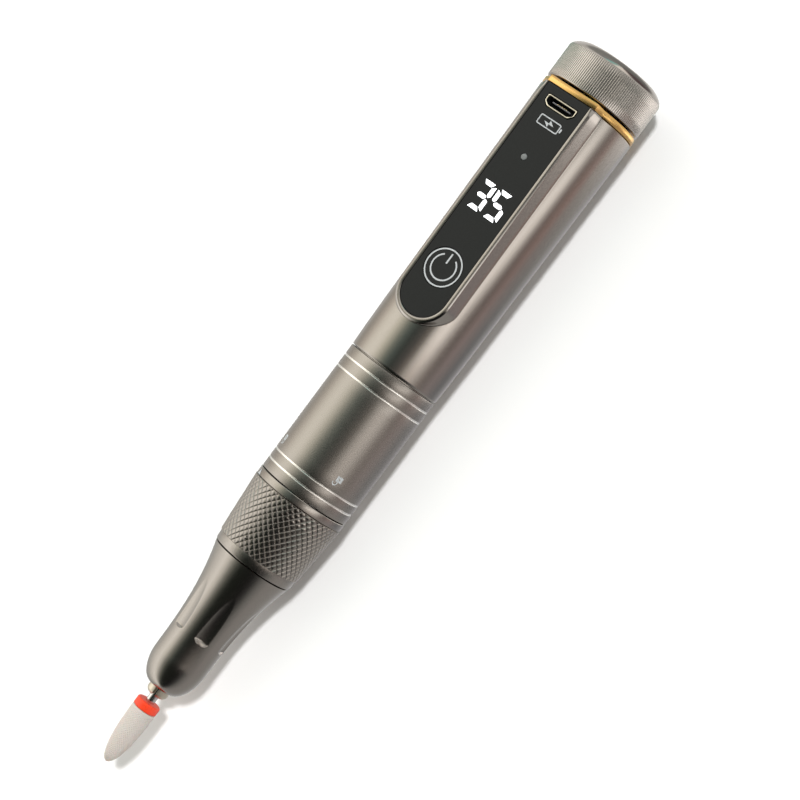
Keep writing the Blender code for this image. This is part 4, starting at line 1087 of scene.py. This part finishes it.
AT_DIAL = (
    (-180, 0.55, 0.62, 0.57), (-125, 0.34, 0.47, 0.41), (-88, 0.42, 0.55, 0.48),
    (-68, 2.3, 2.25, 2.12), (-26, 2.1, 2.04, 1.92), (-15, 0.8, 0.78, 0.72),
    (5, 0.2, 0.21, 0.2), (44, 0.2, 0.19, 0.18), (75, 0.36, 0.4, 0.38),
    (105, 0.55, 0.56, 0.54), (114, 1.5, 1.46, 1.42), (126, 2.7, 2.6, 2.52),
    (154, 2.6, 2.5, 2.44), (179, 0.95, 0.95, 0.92),
)
AT_END = ((-180, 0.9, 0.88, 0.85), (179, 0.9, 0.88, 0.85))
AT_LIP = (
    (-180, 0.3, 0.3, 0.29), (-70, 0.45, 0.45, 0.43), (-30, 0.42, 0.4, 0.42),
    (-12, 0.5, 1.15, 1.05), (0, 0.35, 0.6, 0.55), (12, 1.5, 1.45, 1.32),
    (50, 1.4, 1.3, 1.22), (72, 0.22, 0.18, 0.18), (120, 0.16, 0.11, 0.12),
    (179, 0.3, 0.3, 0.29),
)
# Each table with the places along X between which it takes over from the one before
STUDIO = (
    (AT_NOSE, None),
    (AT_COLLAR, (-0.2, -0.12)),
    (AT_BODY_FRONT, (-0.055, -0.025)),
    (AT_BODY_REAR, (0.0, 0.06)),
    (AT_DIAL, (0.122, 0.136)),
    (AT_END, (0.22, 0.3)),
    (AT_LIP, (0.62, 0.72)),
)
STUDIO_PEAK = 3.2


def make_world():
    """A soft studio whose brightness changes around the pen's axis and along it."""
    world = bpy.data.worlds.new("studio")
    world.use_nodes = True
    bpy.context.scene.world = world
    nodes, links = world.node_tree.nodes, world.node_tree.links
    background = nodes["Background"]
    where = nodes.new("ShaderNodeTexCoord")
    split = nodes.new("ShaderNodeSeparateXYZ")
    links.new(where.outputs["Generated"], split.inputs["Vector"])
    aside = nodes.new("ShaderNodeMath")
    aside.operation = "MULTIPLY"
    aside.inputs[1].default_value = -1
    links.new(split.outputs["Y"], aside.inputs[0])
    turn = nodes.new("ShaderNodeMath")
    turn.operation = "ARCTAN2"
    links.new(aside.outputs[0], turn.inputs[0])
    links.new(split.outputs["Z"], turn.inputs[1])
    share = ranged(nodes, links, turn.outputs[0], 0, 1, -math.pi, math.pi)
    colour = None
    for table, span in STUDIO:
        ramp = nodes.new("ShaderNodeValToRGB")
        stops = ramp.color_ramp.elements
        while len(stops) < len(table):
            stops.new(0.5)
        for stop, (angle, *tone) in zip(stops, table):
            stop.position = (angle + 180) / 360
            stop.color = (*[c / STUDIO_PEAK for c in tone], 1)
        links.new(share, ramp.inputs["Fac"])
        if span is None:
            colour = ramp.outputs["Color"]
            continue
        mix = nodes.new("ShaderNodeMix")
        mix.data_type = "RGBA"
        links.new(ranged(nodes, links, split.outputs["X"], 0, 1, *span), mix.inputs["Factor"])
        links.new(colour, mix.inputs["A"])
        links.new(ramp.outputs["Color"], mix.inputs["B"])
        colour = mix.outputs["Result"]
    links.new(colour, background.inputs["Color"])
    background.inputs["Strength"].default_value = STUDIO_PEAK


def make_light():
    """One soft sun, seen in no reflection."""
    lamp = bpy.data.lights.new("fill", "SUN")
    lamp.energy = 2.4
    lamp.angle = math.radians(7)
    fill = bpy.data.objects.new("fill", lamp)
    fill.rotation_euler = (math.radians(10.6), math.radians(15), 0)
    fill.visible_glossy = False
    bpy.context.scene.collection.objects.link(fill)


FLOOR_SIZE, DOME_RADIUS = 4, 3.9  # metres


def stage(name, bm, material):
    """A piece of the set that isn't seen in reflections."""
    mesh = bpy.data.meshes.new(name)
    bm.to_mesh(mesh)
    bm.free()
    mesh.materials.append(material)
    made = bpy.data.objects.new(name, mesh)
    made.visible_glossy = False
    bpy.context.scene.collection.objects.link(made)
    return made


def make_floor():
    bm = bmesh.new()
    bmesh.ops.create_grid(bm, x_segments=8, y_segments=8, size=FLOOR_SIZE)
    stage("floor", bm, finish("floor_paint", (0.86, 0.86, 0.86), 0.6, shade=0.004, grain=40))


def make_backdrop():
    """A plain white dome, seen directly but in no reflection, so the studio still lights the pen."""
    bm = bmesh.new()
    bmesh.ops.create_uvsphere(bm, u_segments=48, v_segments=24, radius=DOME_RADIUS)
    paint = finish("backdrop_white", (0.9, 0.9, 0.9), 0.9, shade=0.004, grain=40,
                   Emission_Color=(1, 1, 1, 1), Emission_Strength=1.0)
    backdrop = stage("backdrop", bm, paint)
    backdrop.visible_diffuse = False
    backdrop.visible_transmission = False
    backdrop.visible_shadow = False


# ---------------------------------------------------------------- camera

TILT, LIFT = 2.2, 24.5  # the far end's rise towards the camera, and the camera's angle around the pen
IMAGE_RIGHT, IMAGE_UP = 0.5968, 0.8024  # the pen's direction in the image
AIM_STATION, AIM_IN_VIEW = 87.3, (-0.00393, 0.00288, -0.4649)


def make_camera():
    """Looks down on the pen from the -Y side, with the dial at the upper right."""
    tilt, lift = math.radians(TILT), math.radians(LIFT)
    along = Vector((math.cos(tilt) * IMAGE_RIGHT, math.cos(tilt) * IMAGE_UP, math.sin(tilt)))
    facing = Vector((-math.sin(tilt) * IMAGE_RIGHT, -math.sin(tilt) * IMAGE_UP, math.cos(tilt)))
    leftwards = Vector((-IMAGE_UP, IMAGE_RIGHT, 0))
    up = math.cos(lift) * facing + math.sin(lift) * leftwards
    left = up.cross(along)
    turn = Matrix((along, left, up))  # the world's axes in the camera's frame, as rows
    camera = bpy.data.objects.new("camera", bpy.data.cameras.new("camera"))
    camera.data.lens = 90
    camera.data.sensor_width = 36
    aim = Vector((to_x(AIM_STATION), 0, AXIS))
    place = aim - turn @ Vector(AIM_IN_VIEW)
    camera.matrix_world = Matrix.Translation(place) @ turn.to_4x4()
    bpy.context.scene.collection.objects.link(camera)
    bpy.context.scene.camera = camera
    bpy.context.scene.view_settings.view_transform = "Standard"


make_camera()
make_world()
make_light()
make_floor()
make_backdrop()
make_body()
make_panel()
make_key()
make_display()
make_key_marks()
make_charge_mark()
make_lock_marks()
make_lamp()
make_inlet()
make_trim()
make_dial()
make_collar()
make_lock_ring()
make_nose()
make_collet()
make_bit()
make_head()
make_spring()
finish_inner_pieces()
